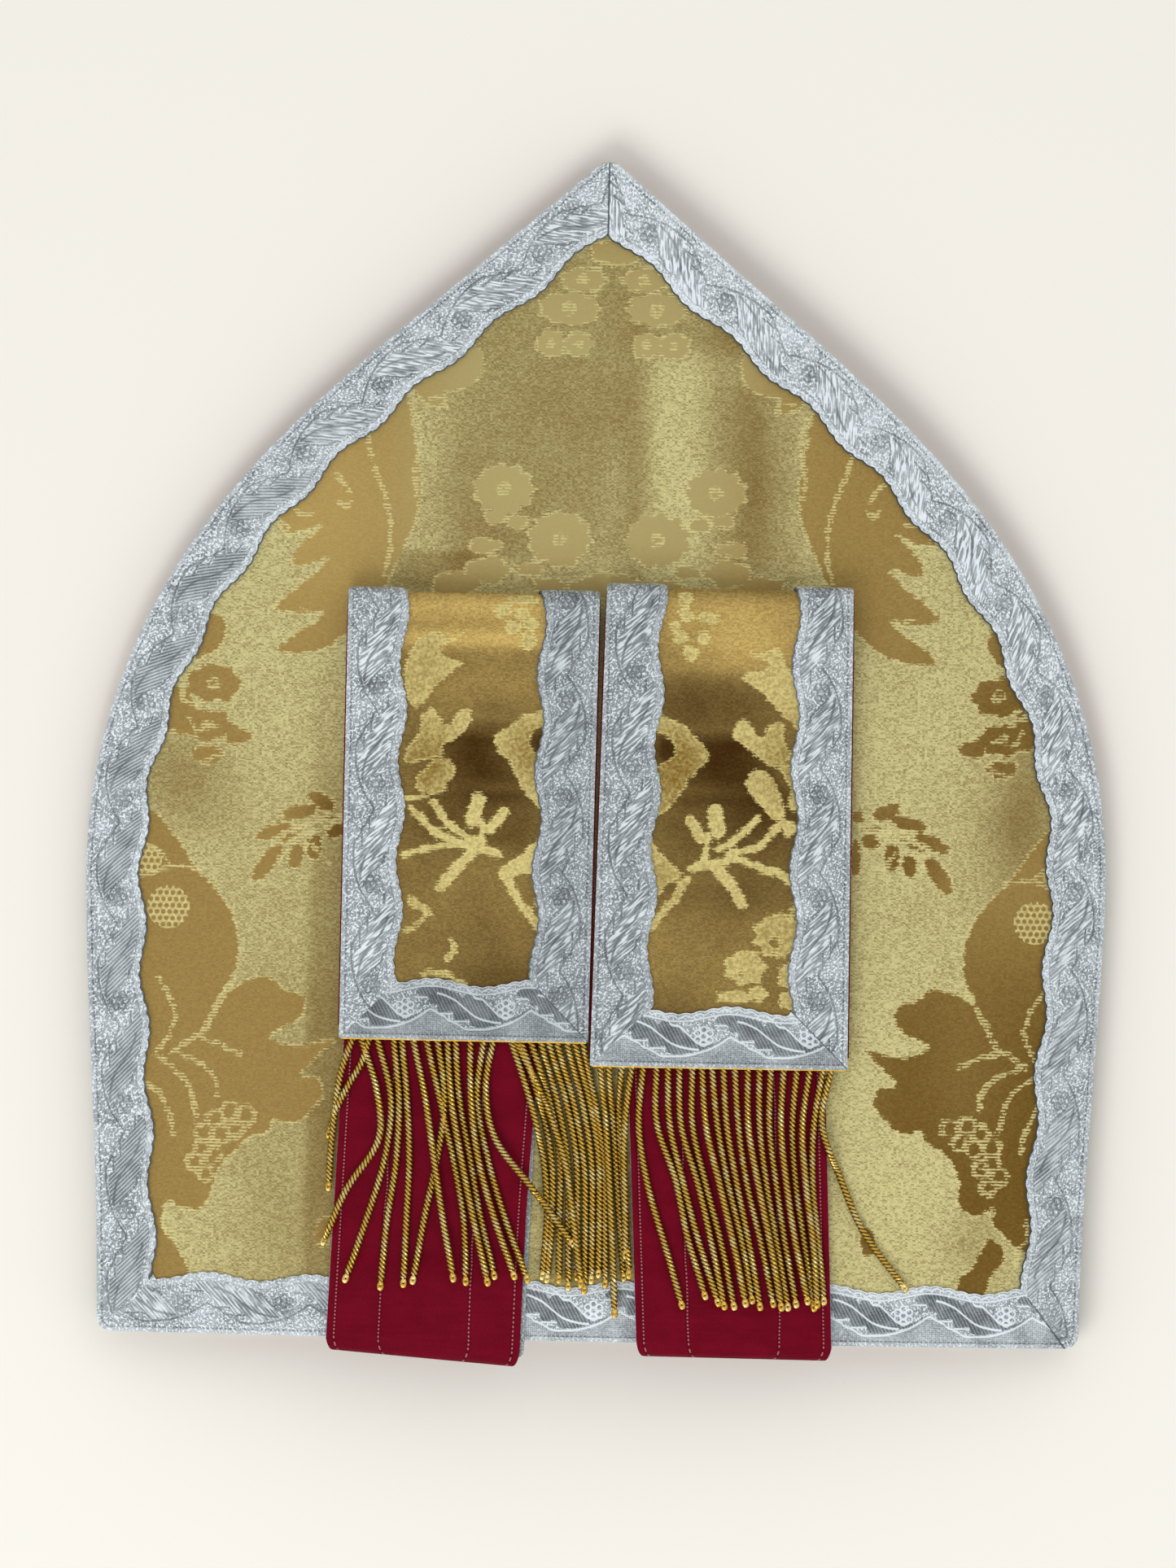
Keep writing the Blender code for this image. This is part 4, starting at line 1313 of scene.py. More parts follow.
def shield_braid(name, node, face, outwards, step):
    """Braid once round a shield."""
    tries = np.linspace(0, side.length, TRIES)
    edge = side.aside(tries, BRAID_WIDTH)
    inside = tries[(edge[:, 1] >= BRAID_WIDTH) & (edge[:, 0] >= 0)]
    start, end = inside[0], inside[-1]
    count = round((end - start) / step)
    walked = np.linspace(0, 1, count + 1)
    along = start + walked * (end - start)
    outer = side.at(walked * side.length)
    outer[-1, 0] = 0
    inners = []
    for run in (RIGHT_SIDE, LEFT_SIDE):
        inner = side.aside(along, braid_width(repeats_at(run, along)))
        inner[-1, 0] = 0
        inner[0] = side.aside(along[:1], BRAID_WIDTH)[0]
        inners.append(inner)
    inners[1][-1] = inners[0][-1]
    low_corner = inners[0][0].copy()
    rim_count = round(2 * low_corner[0] / step)
    walked = np.linspace(-1, 1, rim_count + 1)
    rim_inner = walked * low_corner[0]
    rim_inner = np.stack([rim_inner, braid_width(repeats_at(RIM, rim_inner))], -1)
    rim_inner[[0, -1], 1] = low_corner[1]
    rim_outer = np.stack([walked * outer[0, 0], np.zeros(rim_count + 1)], -1)
    mirror = np.array([-1, 1])
    outer_line = np.concatenate([outer, (outer * mirror)[-2::-1], rim_outer[1:]])
    inner_line = np.concatenate([inners[0], (inners[1] * mirror)[-2::-1], rim_inner[1:]])

    def up_side(a, b):
        along, across = side.nearest(np.abs(a), b)
        near_tip = np.minimum(np.abs(a), NO_CUT)
        return along, across, np.where(b > HEIGHT / 2, near_tip, NO_CUT)

    def down_left(a, b):
        along, across, cut = up_side(a, b)
        return np.stack([0.5 - repeats_at(LEFT_SIDE, along), across, cut], -1)

    def up_right(a, b):
        along, across, cut = up_side(a, b)
        mitre = b - (outer[0, 0] - a) * BRAID_WIDTH / (outer[0, 0] - low_corner[0])
        cut = np.minimum(cut, np.abs(mitre * CUT_SLANT))
        return np.stack([repeats_at(RIGHT_SIDE, along), across, cut], -1)

    def along_rim(a, b):
        return uncut(repeats_at(RIM, a), b)

    # Painted light: each run's shine, painted brightness and painted brink shadow, changing along
    # it as the braid turns to the light.
    def left_shine(a, b):
        return lustre(a, shine=0.55 + 0.3 * ease(240, 300, b),
                      paleness=1.0 + 0.05 * ease(180, 300, b), seam=0.85)

    def right_shine(a, b):
        return lustre(a, shine=0.7 + 0.25 * ease(60, 200, b),
                      paleness=0.98 + 0.26 * ease(150, 300, b), seam=1)

    def rim_shine(a, b):
        return lustre(a, shine=0.75 * (1 - ease(-95, -40, a)),
                      paleness=1.06 - 0.08 * ease(-60, 60, a), seam=0.1)

    def onto(a, b, up):
        return np.stack([a, b, face(a, b) + outwards * up], -1)

    runs = [Run(0, count, up_right, right_shine), Run(count, 2 * count, down_left, left_shine),
            Run(2 * count, 2 * count + rim_count, along_rim, rim_shine)]
    strip = lay_braid(name, outer_line, inner_line, runs, onto)
    strip.join(0.001)
    return hang_up(name, strip.mesh, [silver_galloon], node)


back_galloon = shield_braid("back_galloon", "back_braid", back_outside, 1, BRAID_STEP)
front_galloon = shield_braid("front_galloon", "front_braid", front_outside, -1, 2 * BRAID_STEP)

# %% [markdown]
# ## The path of a lappet
# Seen from the side, a lappet is one line: out from inside the rim, up round it, over the rim's
# braid and along the back, then a soft fold that springs open, and down again to its fringe.
# The brocade, the lining, the braid and the stitches all follow that one line at their own
# distance from it.

# %% The lappets' sizes
CLOTH = 1.2
LINING = 1.0
LAYERS_GAP = 0.5
RIM_WRAP = 7.2  # between the two legs where a lappet goes round the rim
RIM_BEND = 1.7
RIM_CLEAR = 1.6
FOLD_BEND = 5.0
HUMP = 12.2  # height of the line over the back where the fold springs open
NEAR_TURN = 9.0  # from the fold's turn, where it comes down from the hump
AFTER_TURN = 2.0  # where the arc of the turn hands over to the loose part
STEP_DOWN_START = 2.0
STEP_DOWN_END = 10.0
LYING = BRAID + 2 * GAP + LAYERS_GAP / 2
OVER_BRAID = LYING + BRAID + 0.1
RESTING = LYING + 2 * (CLOTH + LINING + GAP) + LAYERS_GAP
CLOTH_SHORT = 3.6  # the cloth ends before the braid does
CORNER = 2.2  # radius of a lappet's corners where it goes round the rim
WIDENED = 20.0  # before the fold, where a lappet has its upper leg's width

Slack = namedtuple("Slack", "before_turn lift")
SLACK = [Slack(-44.0, 0.0), Slack(-31.0, 0.24), Slack(-19.0, 0.7), Slack(-9.0, 1.0)]
# peek is how far its lower leg is turned in, so as not to peek out; the last four are its braid
# on the left, across the end and on the right, and the places of its two edges
Lappet = namedtuple("Lappet", "name fold end slant peek left band right edges")
Edges = namedtuple("Edges", "place left right")
LAPPETS = [
    Lappet("left", 228.5, 91.6, 4.0, 1.2, Edge(8.6, 30.6, 0.88), Edge(-49.6, 30.8, 0.69),
           Edge(22.0, 30.3, 0.74), [
        Edges("root", -80.6, -20.2),
        Edges("rim", -80.4, -19.6),
        Edges("beside the end", -76.3, -16.5),
        Edges("fold", -77.3, -0.2),
        Edges("end", -77.7, -1.5),
    ]),
    Lappet("right", 231.0, 84.6, 0.5, 0.0, Edge(21.1, 30.9, 0.79), Edge(9.8, 32.5, 0.86),
           Edge(29.0, 31.6, 0.91), [
        Edges("root", 15.6, 75.4),
        Edges("rim", 15.4, 75.2),
        Edges("beside the end", 10.8, 71.3),
        Edges("fold", 2.2, 77.0),
        Edges("end", -0.8, 78.0),
    ]),
]


def arc(y, height, radius, start, turn, steps):
    """Points round an arc, in degrees."""
    angle = np.radians(start + turn * np.linspace(0, 1, steps))
    return np.stack([y + radius * np.cos(angle), height + radius * np.sin(angle)], -1)


class LappetCloth:
    """One lappet's brocade, seen from the side, and its two edges along that line."""

    def __init__(self, lappet):
        self.name, self.end, self.lappet = lappet.name, lappet.end, lappet
        self.slant = lappet.slant
        under = OVER_BRAID - RIM_WRAP
        corner = RIM_BEND - RIM_CLEAR
        turn = lappet.fold - FOLD_BEND
        off_braid = BRAID_WIDTH + STEP_DOWN_END
        down = np.linspace(0, 1, 9)[1:-1]
        step_y = BRAID_WIDTH + STEP_DOWN_START + down * (STEP_DOWN_END - STEP_DOWN_START)
        step = np.stack([step_y, OVER_BRAID + (LYING - OVER_BRAID) * ease(0, 1, down)], -1)
        out = np.linspace(ROOT, corner, 8, endpoint=False)
        over = np.linspace(corner, BRAID_WIDTH + STEP_DOWN_START, 12)[1:]
        flat = np.linspace(off_braid, turn, 60, endpoint=False)
        loose = np.linspace(turn - AFTER_TURN, turn + SLACK[0].before_turn, 36)
        rise = RESTING + (HUMP - RESTING) * smooth(SLACK, loose - turn)
        top = LYING + 2 * FOLD_BEND
        springing = top + (HUMP - top) * ease(0, NEAR_TURN, turn - loose)
        rise = np.where(loose > turn - NEAR_TURN, springing, rise)
        shown = np.linspace(loose[-1], lappet.end, 90)[1:]
        legs = [
            np.stack([out, np.full(len(out), under)], -1),
            arc(corner, under + RIM_BEND, RIM_BEND, -90, -90, 8),
            arc(corner, OVER_BRAID - RIM_BEND, RIM_BEND, -180, -90, 8),
            np.stack([over, np.full(len(over), OVER_BRAID)], -1),
            step,
            np.stack([flat, np.full(len(flat), LYING)], -1),
            arc(turn, LYING + FOLD_BEND, FOLD_BEND, -90, 180, 20),
            np.stack([loose, rise], -1),
            np.stack([shown, np.full(len(shown), RESTING)], -1),
        ]
        self.line = Line(np.concatenate(legs))
        counts = np.cumsum([len(leg) for leg in legs])
        marks = self.line.marks
        self.wrapped, self.squared = marks[counts[2] - 1], marks[counts[3] - 1]
        self.fold_start, self.fold_end = marks[counts[5]], marks[counts[6]]
        beside = marks[counts[4]] + lappet.end - off_braid
        places = [0, marks[counts[0]], beside, self.fold_start - WIDENED, self.line.length]
        self.left = [(s, row.left) for s, row in zip(places, lappet.edges)]
        self.right = [(s, row.right) for s, row in zip(places, lappet.edges)]

    def edges(self, s):
        """x of the left edge and of the right edge."""
        above = self.line.at(np.atleast_1d(s))[:, 0] + RIM_CLEAR
        short = CORNER - np.clip(above, 0, CORNER)
        inset = CORNER - np.sqrt(CORNER**2 - short**2)
        return [np.interp(s, *zip(*table)) + sign * inset
                for table, sign in ((self.left, 1), (self.right, -1))]

    def point(self, x, s, out):
        """A point over the brocade, or under it where out is negative."""
        y, height = self.line.at(s).T
        way_y, way_height = self.line.read(self.line.ways, s).T
        y, height = y + out * way_height, height - out * way_y
        left, right = self.edges(s)
        pulled = 1 - ease(self.wrapped, self.squared, s)
        y = y - self.slant * pulled * (x - left) / (right - left)
        return np.stack([x, y, back_outside(x, y) + height], -1)


lappets = [LappetCloth(lappet) for lappet in LAPPETS]
print("lappets", [round(l.line.length) for l in lappets], "mm long")

# %% [markdown]
# ## The lappets' own figure
# On the lappets the same brocade lies the other way round: pale figures on a brown satin. The
# two windows between the braids show a spray, half a lozenge, leaves and flowers. Rays and stems
# are lines with a width, and the rest are outlines as before.

# %% The left lappet's figure
Ray = namedtuple("Ray", "width points")
LEFT_SHAPES = [
    rounded([(-41, 217), (-46, 214), (-50, 216), (-55, 214), (-59, 207), (-59, 198), (-56, 193),
             (-51, 199), (-46, 204), (-42, 207), (-46, 208), (-49, 211), (-45, 214)]),
    rounded([(-51, 193), (-48, 189), (-46, 188), (-43, 191), (-40, 193), (-39, 189), (-42, 185),
             (-47, 182), (-49, 178), (-54, 177), (-59, 176), (-58, 181), (-55, 185), (-54, 190)]),
    rounded([(-47, 178), (-44, 175), (-46, 170), (-50, 167), (-55, 168), (-55, 172), (-51, 176)]),
    rounded([(-12, 157), (-19, 152), (-25, 147), (-30, 143), (-27, 140), (-22, 143), (-12, 141)]),
    oval(-24, 226.5, 4.6, 1.3, 5),
    oval(-30, 223.3, 2.4, 1.9, 5),
    oval(-24, 222.3, 2.2, 1.7, 5),
    oval(-26.5, 218, 2.3, 1.8, 5),
    oval(-21.5, 219, 2.6, 1.8, 5),
    oval(-22, 214, 2.2, 2.8, 5),
    oval(-17, 134, 2.0, 2.0, 5),
]
LEFT_LOZENGE = rounded([(-10, 193), (-20, 192), (-26, 189), (-31.5, 185), (-31, 181), (-27, 177),
                        (-24, 171), (-20, 165), (-15, 161), (-10, 160)])
LEFT_HOLE = rounded([(-10, 190), (-17, 188.5), (-21, 185), (-20, 181), (-15, 178), (-10, 177)])
LEFT_RAYS = [
    Ray(4.4, [(-36.5, 165), (-38, 159)]),
    Ray(3.0, [(-28.5, 161.5), (-33, 156)]),
    Ray(2.2, [(-50, 164), (-46, 158), (-40, 154), (-36, 152)]),
    Ray(2.2, [(-56.5, 162), (-51, 156), (-44, 152.5), (-37, 151)]),
    Ray(1.7, [(-59, 148), (-50, 150.5), (-42, 151.5), (-36, 151)]),
    Ray(3.0, [(-47.5, 138), (-43, 144), (-38, 149)]),
    Ray(2.2, [(-36, 150), (-29.5, 148.5)]),
    Ray(1.8, [(-35, 158), (-35, 152)]),
    Ray(2.4, [(-28, 143), (-24, 135), (-19, 129), (-14, 122)]),
    Ray(2.4, [(-56, 134), (-51, 130.5)]),
    Ray(1.2, [(-51, 130), (-54, 127), (-58, 125)]),
    Ray(1.1, [(-47, 168), (-53, 166), (-59, 165)]),
    Ray(1.6, [(-44, 122), (-43, 119), (-45, 116)]),
    Ray(1.4, [(-52, 112), (-46, 112), (-43, 110.5), (-40, 108.5)]),
]
print(len(LEFT_SHAPES + LEFT_RAYS), "figures and rays on the left")

# %% The right lappet's figure
RIGHT_SHAPES = [
    rounded([(45, 212), (50, 211), (54, 213), (57, 208), (61, 202), (65, 195), (65, 187), (61, 189),
             (54, 195), (49, 200), (44, 204), (46, 206), (50, 206), (52, 209)]),
    rounded([(41, 187), (44, 191), (47, 188.5), (50, 185), (52, 189), (56, 190), (57, 184),
             (59, 178), (55, 177), (50, 179), (45, 183)]),
    rounded([(45.5, 172), (48, 175.5), (52, 175), (55, 170), (57, 163), (55, 160.5), (51, 164),
             (47, 168)]),
    rounded([(15, 155), (20, 149), (26, 143), (21, 140), (18, 135), (15, 135)]),
    oval(26, 228, 2.2, 1.6, 5),
    oval(33, 222, 3.0, 1.6, 5),
    oval(26, 223, 2.2, 1.8, 5),
    oval(23, 219.5, 1.8, 1.6, 5),
    oval(24.5, 216, 2.3, 2.0, 5),
    oval(31.5, 216, 1.9, 1.6, 5),
    oval(27.5, 211, 2.0, 2.4, 5),
    oval(56, 125.5, 7.2, 6.5, 9),
    oval(46, 115.5, 6.0, 5.0, 7),
    oval(43, 106.5, 5.6, 1.8, 5),
    oval(50, 107.5, 2.8, 2.2, 5),
    oval(59.5, 113, 3.2, 4.0, 5),
    oval(60, 105.5, 3.0, 2.6, 5),
    oval(59, 158, 2.2, 2.0, 3),
]
RIGHT_LOZENGE = rounded([(10, 191), (22, 190.5), (27, 188), (31, 184), (34, 181), (33, 178),
                         (29, 174), (25, 168), (20, 162.5), (10, 160)])
RIGHT_HOLE = rounded([(10, 187), (20, 186), (23.5, 182), (21, 178), (10, 176)])
RIGHT_RAYS = [
    Ray(4.4, [(36, 163), (37, 157)]),
    Ray(3.0, [(28.5, 160), (32, 154.5)]),
    Ray(2.0, [(37, 151), (43, 155), (49, 161)]),
    Ray(2.2, [(40, 150), (49, 152), (57, 160)]),
    Ray(2.2, [(42, 149), (50, 146), (56, 144.5), (61, 141)]),
    Ray(3.2, [(36, 146), (41, 141), (44.5, 135)]),
    Ray(2.4, [(29, 145.5), (36, 147), (42, 148.5)]),
    Ray(1.8, [(33, 147), (34, 156)]),
    Ray(2.2, [(28, 142.5), (24, 136), (17, 127)]),
    Ray(2.2, [(62, 184), (60, 180), (57, 177), (60, 171), (60, 165)]),
    Ray(1.6, [(61, 134), (60, 131)]),
]
print(len(RIGHT_SHAPES + RIGHT_RAYS), "figures and rays on the right")

# %% The lappets' sheen
# painted highlight along each lappet's fold, and painted shade where the cloth sags below it
LEFT_SHEEN = [Patch(*row) for row in [
    (-37, 214.5, 90, 3.2, 0.38), (-37, 225, 90, 6, 0.36), (-37, 177, 15, 13, -0.31),
    (-36, 183.5, 16, 1.8, -0.08), (-36, 190.5, 12, 1.4, 0.08), (-17, 182, 5, 7, -0.26),
    (-34, 201, 16, 7, 0.1), (-32, 120, 18, 18, -0.08), (-40, 160, 40, 12, -0.13),
    (-30, 166, 12, 1.8, -0.07), (-32, 169, 10, 1.5, 0.06), (-26, 156, 8, 9, -0.06),
    (-42, 130, 13, 9, 0.03), (-38, 119, 7.5, 8, 0.03), (-30, 109, 20, 8, -0.13)]]
RIGHT_SHEEN = [Patch(*row) for row in [
    (44, 214, 22, 8, 0.35), (30, 207, 30, 2.5, 0.08), (38, 225, 60, 6, 0.22),
    (30, 197, 24, 8, -0.17), (38, 178, 15, 12, -0.34), (42, 182.8, 12, 1.5, -0.1),
    (38, 188, 12, 1.3, 0.07), (30, 169.5, 14, 1.8, 0.05), (31, 166, 14, 1.8, -0.06),
    (21, 182, 4, 6, -0.3), (45, 157, 40, 14, -0.17), (40, 138, 30, 8, -0.12),
    (26, 142, 14, 1.4, 0.06), (26, 117, 12, 8, 0.06), (28, 101, 16, 5, -0.08),
    (52, 168, 12, 10, -0.12)]]
# painted light on the pale figures, brighter or darker with the fold
PALE_SHEEN = [Patch(*row) for row in [  # of the figures on both
    (0, 155, 90, 26, 0.1), (-55, 120, 12, 12, -0.25), (60, 110, 16, 16, -0.05),
    (-52, 176, 9, 12, -0.42), (-21, 180, 9, 11, -0.34), (-55, 207, 10, 12, -0.14),
    (24, 175, 10, 14, -0.5), (20, 141, 8, 11, -0.25), (58, 177, 10, 13, -0.3),
    (54, 127, 10, 9, -0.15)]]
print(len(LEFT_SHEEN + RIGHT_SHEEN + PALE_SHEEN), "patches of sheen")

# %% The chart of the lappets
BROWN_TONE, PALE_TONE = 0.36, 0.56  # where no patch lies
RAY_REACH = 6.0  # distances to a ray are worked out up to here
LappetChart = namedtuple("LappetChart", "shapes lozenge hole rays eyes sheen")
LEFT_CHART = LappetChart(LEFT_SHAPES, LEFT_LOZENGE, LEFT_HOLE, LEFT_RAYS, [], LEFT_SHEEN)
RIGHT_CHART = LappetChart(RIGHT_SHAPES, RIGHT_LOZENGE, RIGHT_HOLE, RIGHT_RAYS,
                          [Ring(55, 123, 1.7), Ring(45, 113.5, 1.2)], RIGHT_SHEEN)


def lappet_chart(chart):
    """The rule that a lappet's points are asked."""

    def ask(x, y):
        lozenge = np.minimum(depth(chart.lozenge, x, y), -depth(chart.hole, x, y))
        figure = np.max([lozenge] + [depth(shape, x, y) for shape in chart.shapes], axis=0)
        for ray in chart.rays:
            figure = np.maximum(figure, ray.width / 2 - away(ray.points, x, y, RAY_REACH))
        for eye in chart.eyes:
            figure = np.minimum(figure, np.hypot(x - eye.x, y - eye.y) - eye.radius)
        figure = np.clip(figure, -CHART_REACH, CHART_REACH)
        no_vein = np.full(len(x), CHART_REACH)
        tones = [sheen(chart.sheen, x, y, BROWN_TONE), sheen(PALE_SHEEN, x, y, PALE_TONE),
                 np.zeros(len(x))]
        return np.stack([figure, no_vein, -no_vein], -1), np.stack(tones, -1)

    return ask


print("each lappet has a chart of its own")

# %% [markdown]
# ## The lappets' cloth
# The brocade and its lining are two closed strips. Squares are small only on the stretch that
# shows; round the folds they follow the line's own points.

# %% Cutting the lappets
LAPPET_SQUARE = 0.85  # between the points of the chart
CLOTH_WIDTH = 76
CLOTH_INSET = 0.35  # the brocade is turned in a little before its edge
SILK_INSET = 0.1
SILK_SHOWS = 0.4  # beyond the braid, where the silk lies underneath
SILK_COLUMNS = 24
NARROW, WIDE = 60, 120  # along a lappet, its lower leg is turned in up to here, then less
CHARTED = 8  # before the end of the fold


def cloth_edges(lappet, s, inset):
    """Both edges of the cloth, the right one turned in further on the lappet's lower leg."""
    left, right = lappet.edges(s)
    return left + inset, right - inset - lappet.lappet.peek * (1 - ease(NARROW, WIDE, s))


def cloth_rows(lappet):
    """Places along the lappet where the cloth has a row of points."""
    stop = lappet.line.length - CLOTH_SHORT
    marks = lappet.line.marks
    plain = marks[marks < lappet.fold_end]
    shown = np.arange(lappet.fold_end, stop, LAPPET_SQUARE)
    return np.concatenate([plain, shown, [stop]])


def make_lappet_face(lappet, chart):
    """The brocade, charted where it shows."""
    name = f"{lappet.name}_lappet_cloth"
    rows = cloth_rows(lappet)
    columns = round(CLOTH_WIDTH / LAPPET_SQUARE)
    strip = Strip(name, len(rows) - 1, columns)
    s = rows[strip.row]
    left, right = cloth_edges(lappet, s, CLOTH_INSET)
    x = left + (right - left) * strip.column / columns
    strip.put(lappet.point(x, s, -CLOTH * strip.face))
    shown = (s > lappet.fold_end - CHARTED) & (strip.face < 0.5)
    write_chart(strip.mesh, lappet_chart(chart), shown)
    return hang_up(name, strip.mesh, [lappet_brocade], f"{lappet.name}_lappet")


def make_lappet_lining(lappet):
    """The silk under the brocade, stitched along its edges."""
    name = f"{lappet.name}_lappet_silk"
    marks = lappet.line.marks
    stop = lappet.line.length - CLOTH_SHORT
    rows = np.concatenate([marks[marks < stop - 1], [stop]])
    strip = Strip(name, len(rows) - 1, SILK_COLUMNS)
    s = rows[strip.row]
    upper = ease(lappet.fold_start - WIDENED, lappet.fold_end + WIDENED, s)
    left, right = cloth_edges(lappet, s, SILK_INSET - (SILK_SHOWS + SILK_INSET) * upper)
    x = left + (right - left) * strip.column / SILK_COLUMNS
    widths = np.stack([x - left, right - x, s], -1)
    strip.write("width", widths[strip.corner])
    strip.put(lappet.point(x, s, -CLOTH - GAP - LINING * strip.face))
    node = f"{lappet.name}_lappet_lining"
    return hang_up(name, strip.mesh, [stitched_silk], node)


lappet_cloths = [make_lappet_face(l, c) for l, c in zip(lappets, (LEFT_CHART, RIGHT_CHART))]
lappet_silks = [make_lappet_lining(lappet) for lappet in lappets]

# %% [markdown]
# The braid on a lappet runs down its left edge, across the end and up its right edge. Its right
# corner is cut on the slant and sewn, which leaves a dark line, and its left corner is folded.

# %% Braid on the lappets
LAPPET_COLUMNS = 14


def make_lappet_braid(cloth):
    """Braid down, across and up. Here a is x and b is the distance along the lappet."""
    lappet, name = cloth.lappet, f"{cloth.name}_lappet_galloon"
    length = cloth.line.length
    turn = length - BRAID_WIDTH
    count = round(turn / BRAID_STEP)
    walked = np.linspace(0, 1, count + 1)
    s, stretched = walked * turn, walked * length
    widths = [braid_width(repeats_at(edge, length - s)) for edge in (lappet.left, lappet.right)]
    left, right = cloth.edges(s)
    left_outer = np.stack([cloth.edges(stretched)[0], stretched], -1)
    right_outer = np.stack([cloth.edges(stretched)[1], stretched], -1)
    left_inner, right_inner = (np.stack([edge + sign * width, s], -1)
                               for edge, sign, width in zip((left, right), (1, -1), widths))
    low, high = left[-1] + BRAID_WIDTH, right[-1] - BRAID_WIDTH
    left_inner[-1, 0], right_inner[-1, 0] = low, high
    band_count = round((high - low) / BRAID_STEP)
    walked = np.linspace(0, 1, band_count + 1)
    band_x = low + (high - low) * walked
    band_width = braid_width(repeats_at(lappet.band, band_x))
    band_width[[0, -1]] = BRAID_WIDTH
    band_outer = np.stack([left_outer[-1, 0] + (right_outer[-1, 0] - left_outer[-1, 0]) * walked,
                           np.full(len(walked), length)], -1)
    band_inner = np.stack([band_x, length - band_width], -1)
    outer = np.concatenate([left_outer, band_outer[1:], right_outer[-2::-1]])
    inner = np.concatenate([left_inner, band_inner[1:], right_inner[-2::-1]])

    def down_left(a, b):
        return uncut(0.5 - repeats_at(lappet.left, length - b), a - cloth.edges(b)[0])

    def up_right(a, b):
        across = cloth.edges(b)[1] - a
        mitre = np.abs(length - b - across) * CUT_SLANT
        cut = np.where(b < turn - 1.5, NO_CUT, mitre)
        return np.stack([repeats_at(lappet.right, length - b), across, cut], -1)

    def along_band(a, b):
        return uncut(repeats_at(lappet.band, a), length - b)

    # Painted light: each run's shine, painted brightness and the painted shadow along its inner
    # brink.
    left_shine = steady(shine=0.95, paleness=lappet.left.paleness, seam=0.2)
    band_shine = steady(shine=0.05, paleness=lappet.band.paleness, seam=0)
    right_shine = steady(shine=0.85, paleness=lappet.right.paleness, seam=0.7)
    runs = [Run(0, count, down_left, left_shine),
            Run(count, count + band_count, along_band, band_shine),
            Run(count + band_count, 2 * count + band_count, up_right, right_shine)]
    strip = lay_braid(name, outer, inner, runs, cloth.point, LAPPET_COLUMNS)
    node = f"{cloth.name}_lappet_braid"
    return hang_up(name, strip.mesh, [silver_galloon], node)


lappet_galloons = [make_lappet_braid(lappet) for lappet in lappets]

# %% [markdown]
# ## The fringe
# Bullion fringe is made of twisted cords that end in a small loop. Each cord here is a tube with
# lobes that turn along its length, which is what twisted strands look like. A row of the
# table says where across the mitre a cord starts, where it passes at a quarter, half and three
# quarters of its way, where it ends, how far down it reaches and how many other cords it lies on.

# %% Where the cords lie
Cord = namedtuple("Cord", "start quarter half three_quarters end reach over")
LEFT_CORDS = [
    Cord(-73.5, -77, -78.5, -79.5, -80, 45, 0),
    Cord(-71, -66, -65, -74.5, -81, 62, 1),
    Cord(-68.5, -70.5, -74.5, -78, -80, 29, 0),
    Cord(-66, -61.5, -63, -68, -74, 73, 0),
    Cord(-61, -59, -59.5, -62, -63.5, 75, 0),
    Cord(-58.5, -56.5, -55.5, -56, -56.5, 74, 0),
    Cord(-55, -51, -48, -45, -41.5, 72, 1),
    Cord(-51, -46.5, -42, -38.5, -37.5, 73, 0),
    Cord(-47.5, -45, -47, -50.5, -53.5, 73, 0),
    Cord(-44.5, -43, -39.5, -35.5, -31, 73, 1),
    Cord(-42, -40.5, -37, -33.5, -29, 71, 0),
    Cord(-37.5, -37, -34.5, -29.5, -23, 71, 1),
    Cord(-33.5, -35, -31.5, -26, -19, 72, 0),
    Cord(-30.5, -32.5, -29, -17, -5.5, 61, 1),
    Cord(-25, -19, -14.5, -13, -14, 71, 0),
    Cord(-22, -16, -12, -11.5, -12.6, 72, 0),
    Cord(-19, -13, -9.4, -9.2, -9, 72, 0),
    Cord(-16, -10.5, -7, -6.4, -6.1, 74, 0),
    Cord(-13.5, -8, -4.4, -3.8, -3.5, 71, 0),
    Cord(-11, -5.5, -2.0, -1.3, -1.2, 75, 0),
    Cord(-8, -3, 0.2, 0.8, 0.9, 72, 0),
    Cord(-23.5, -14.5, -8, -5, -2.4, 73, 1),
    Cord(-5.5, -0.8, 2.4, 3.0, 3.1, 70, 0),
    Cord(-3, 1, 4.2, 4.8, 5.2, 73, 0),
]
RIGHT_CORDS = [
    Cord(2.5, 4.5, 6, 7.2, 8.2, 75, 1),
    Cord(5, 6.5, 7.8, 9.2, 10.8, 64, 0),
    Cord(9, 8.5, 9.5, 11, 12.3, 63, 0),
    Cord(12, 10.5, 10.2, 10.8, 11.2, 57, 1),
    Cord(15.5, 14.5, 17.5, 23, 28.5, 72, 0),
    Cord(19.5, 20, 26, 30, 35.5, 69, 0),
    Cord(23, 24, 28.5, 33.5, 39.5, 71, 0),
    Cord(26.5, 27.5, 33, 37.5, 41.5, 72, 0),
    Cord(30.5, 31, 35.5, 40.5, 44.5, 72, 0),
    Cord(33.5, 35, 39.5, 44, 48, 71, 1),
    Cord(36.5, 38.5, 42, 46.5, 50, 70, 0),
    Cord(40, 41.5, 45, 49, 52.5, 72, 0),
    Cord(43.5, 45, 48, 52.5, 56.5, 71, 0),
    Cord(47.5, 48, 51.5, 55.5, 59, 72, 1),
    Cord(51, 51.5, 54, 57.5, 61, 72, 0),
    Cord(54.5, 54.5, 57, 60, 63.5, 71, 0),
    Cord(58.5, 58, 60, 63, 67, 70, 1),
    Cord(62.5, 61.5, 63, 66, 69, 72, 0),
    Cord(66.5, 64.5, 66, 68.5, 70, 71, 1),
    Cord(70.5, 68, 68, 70, 72, 70, 0),
    Cord(73, 70.5, 76.5, 84, 96.5, 66, 0),
]
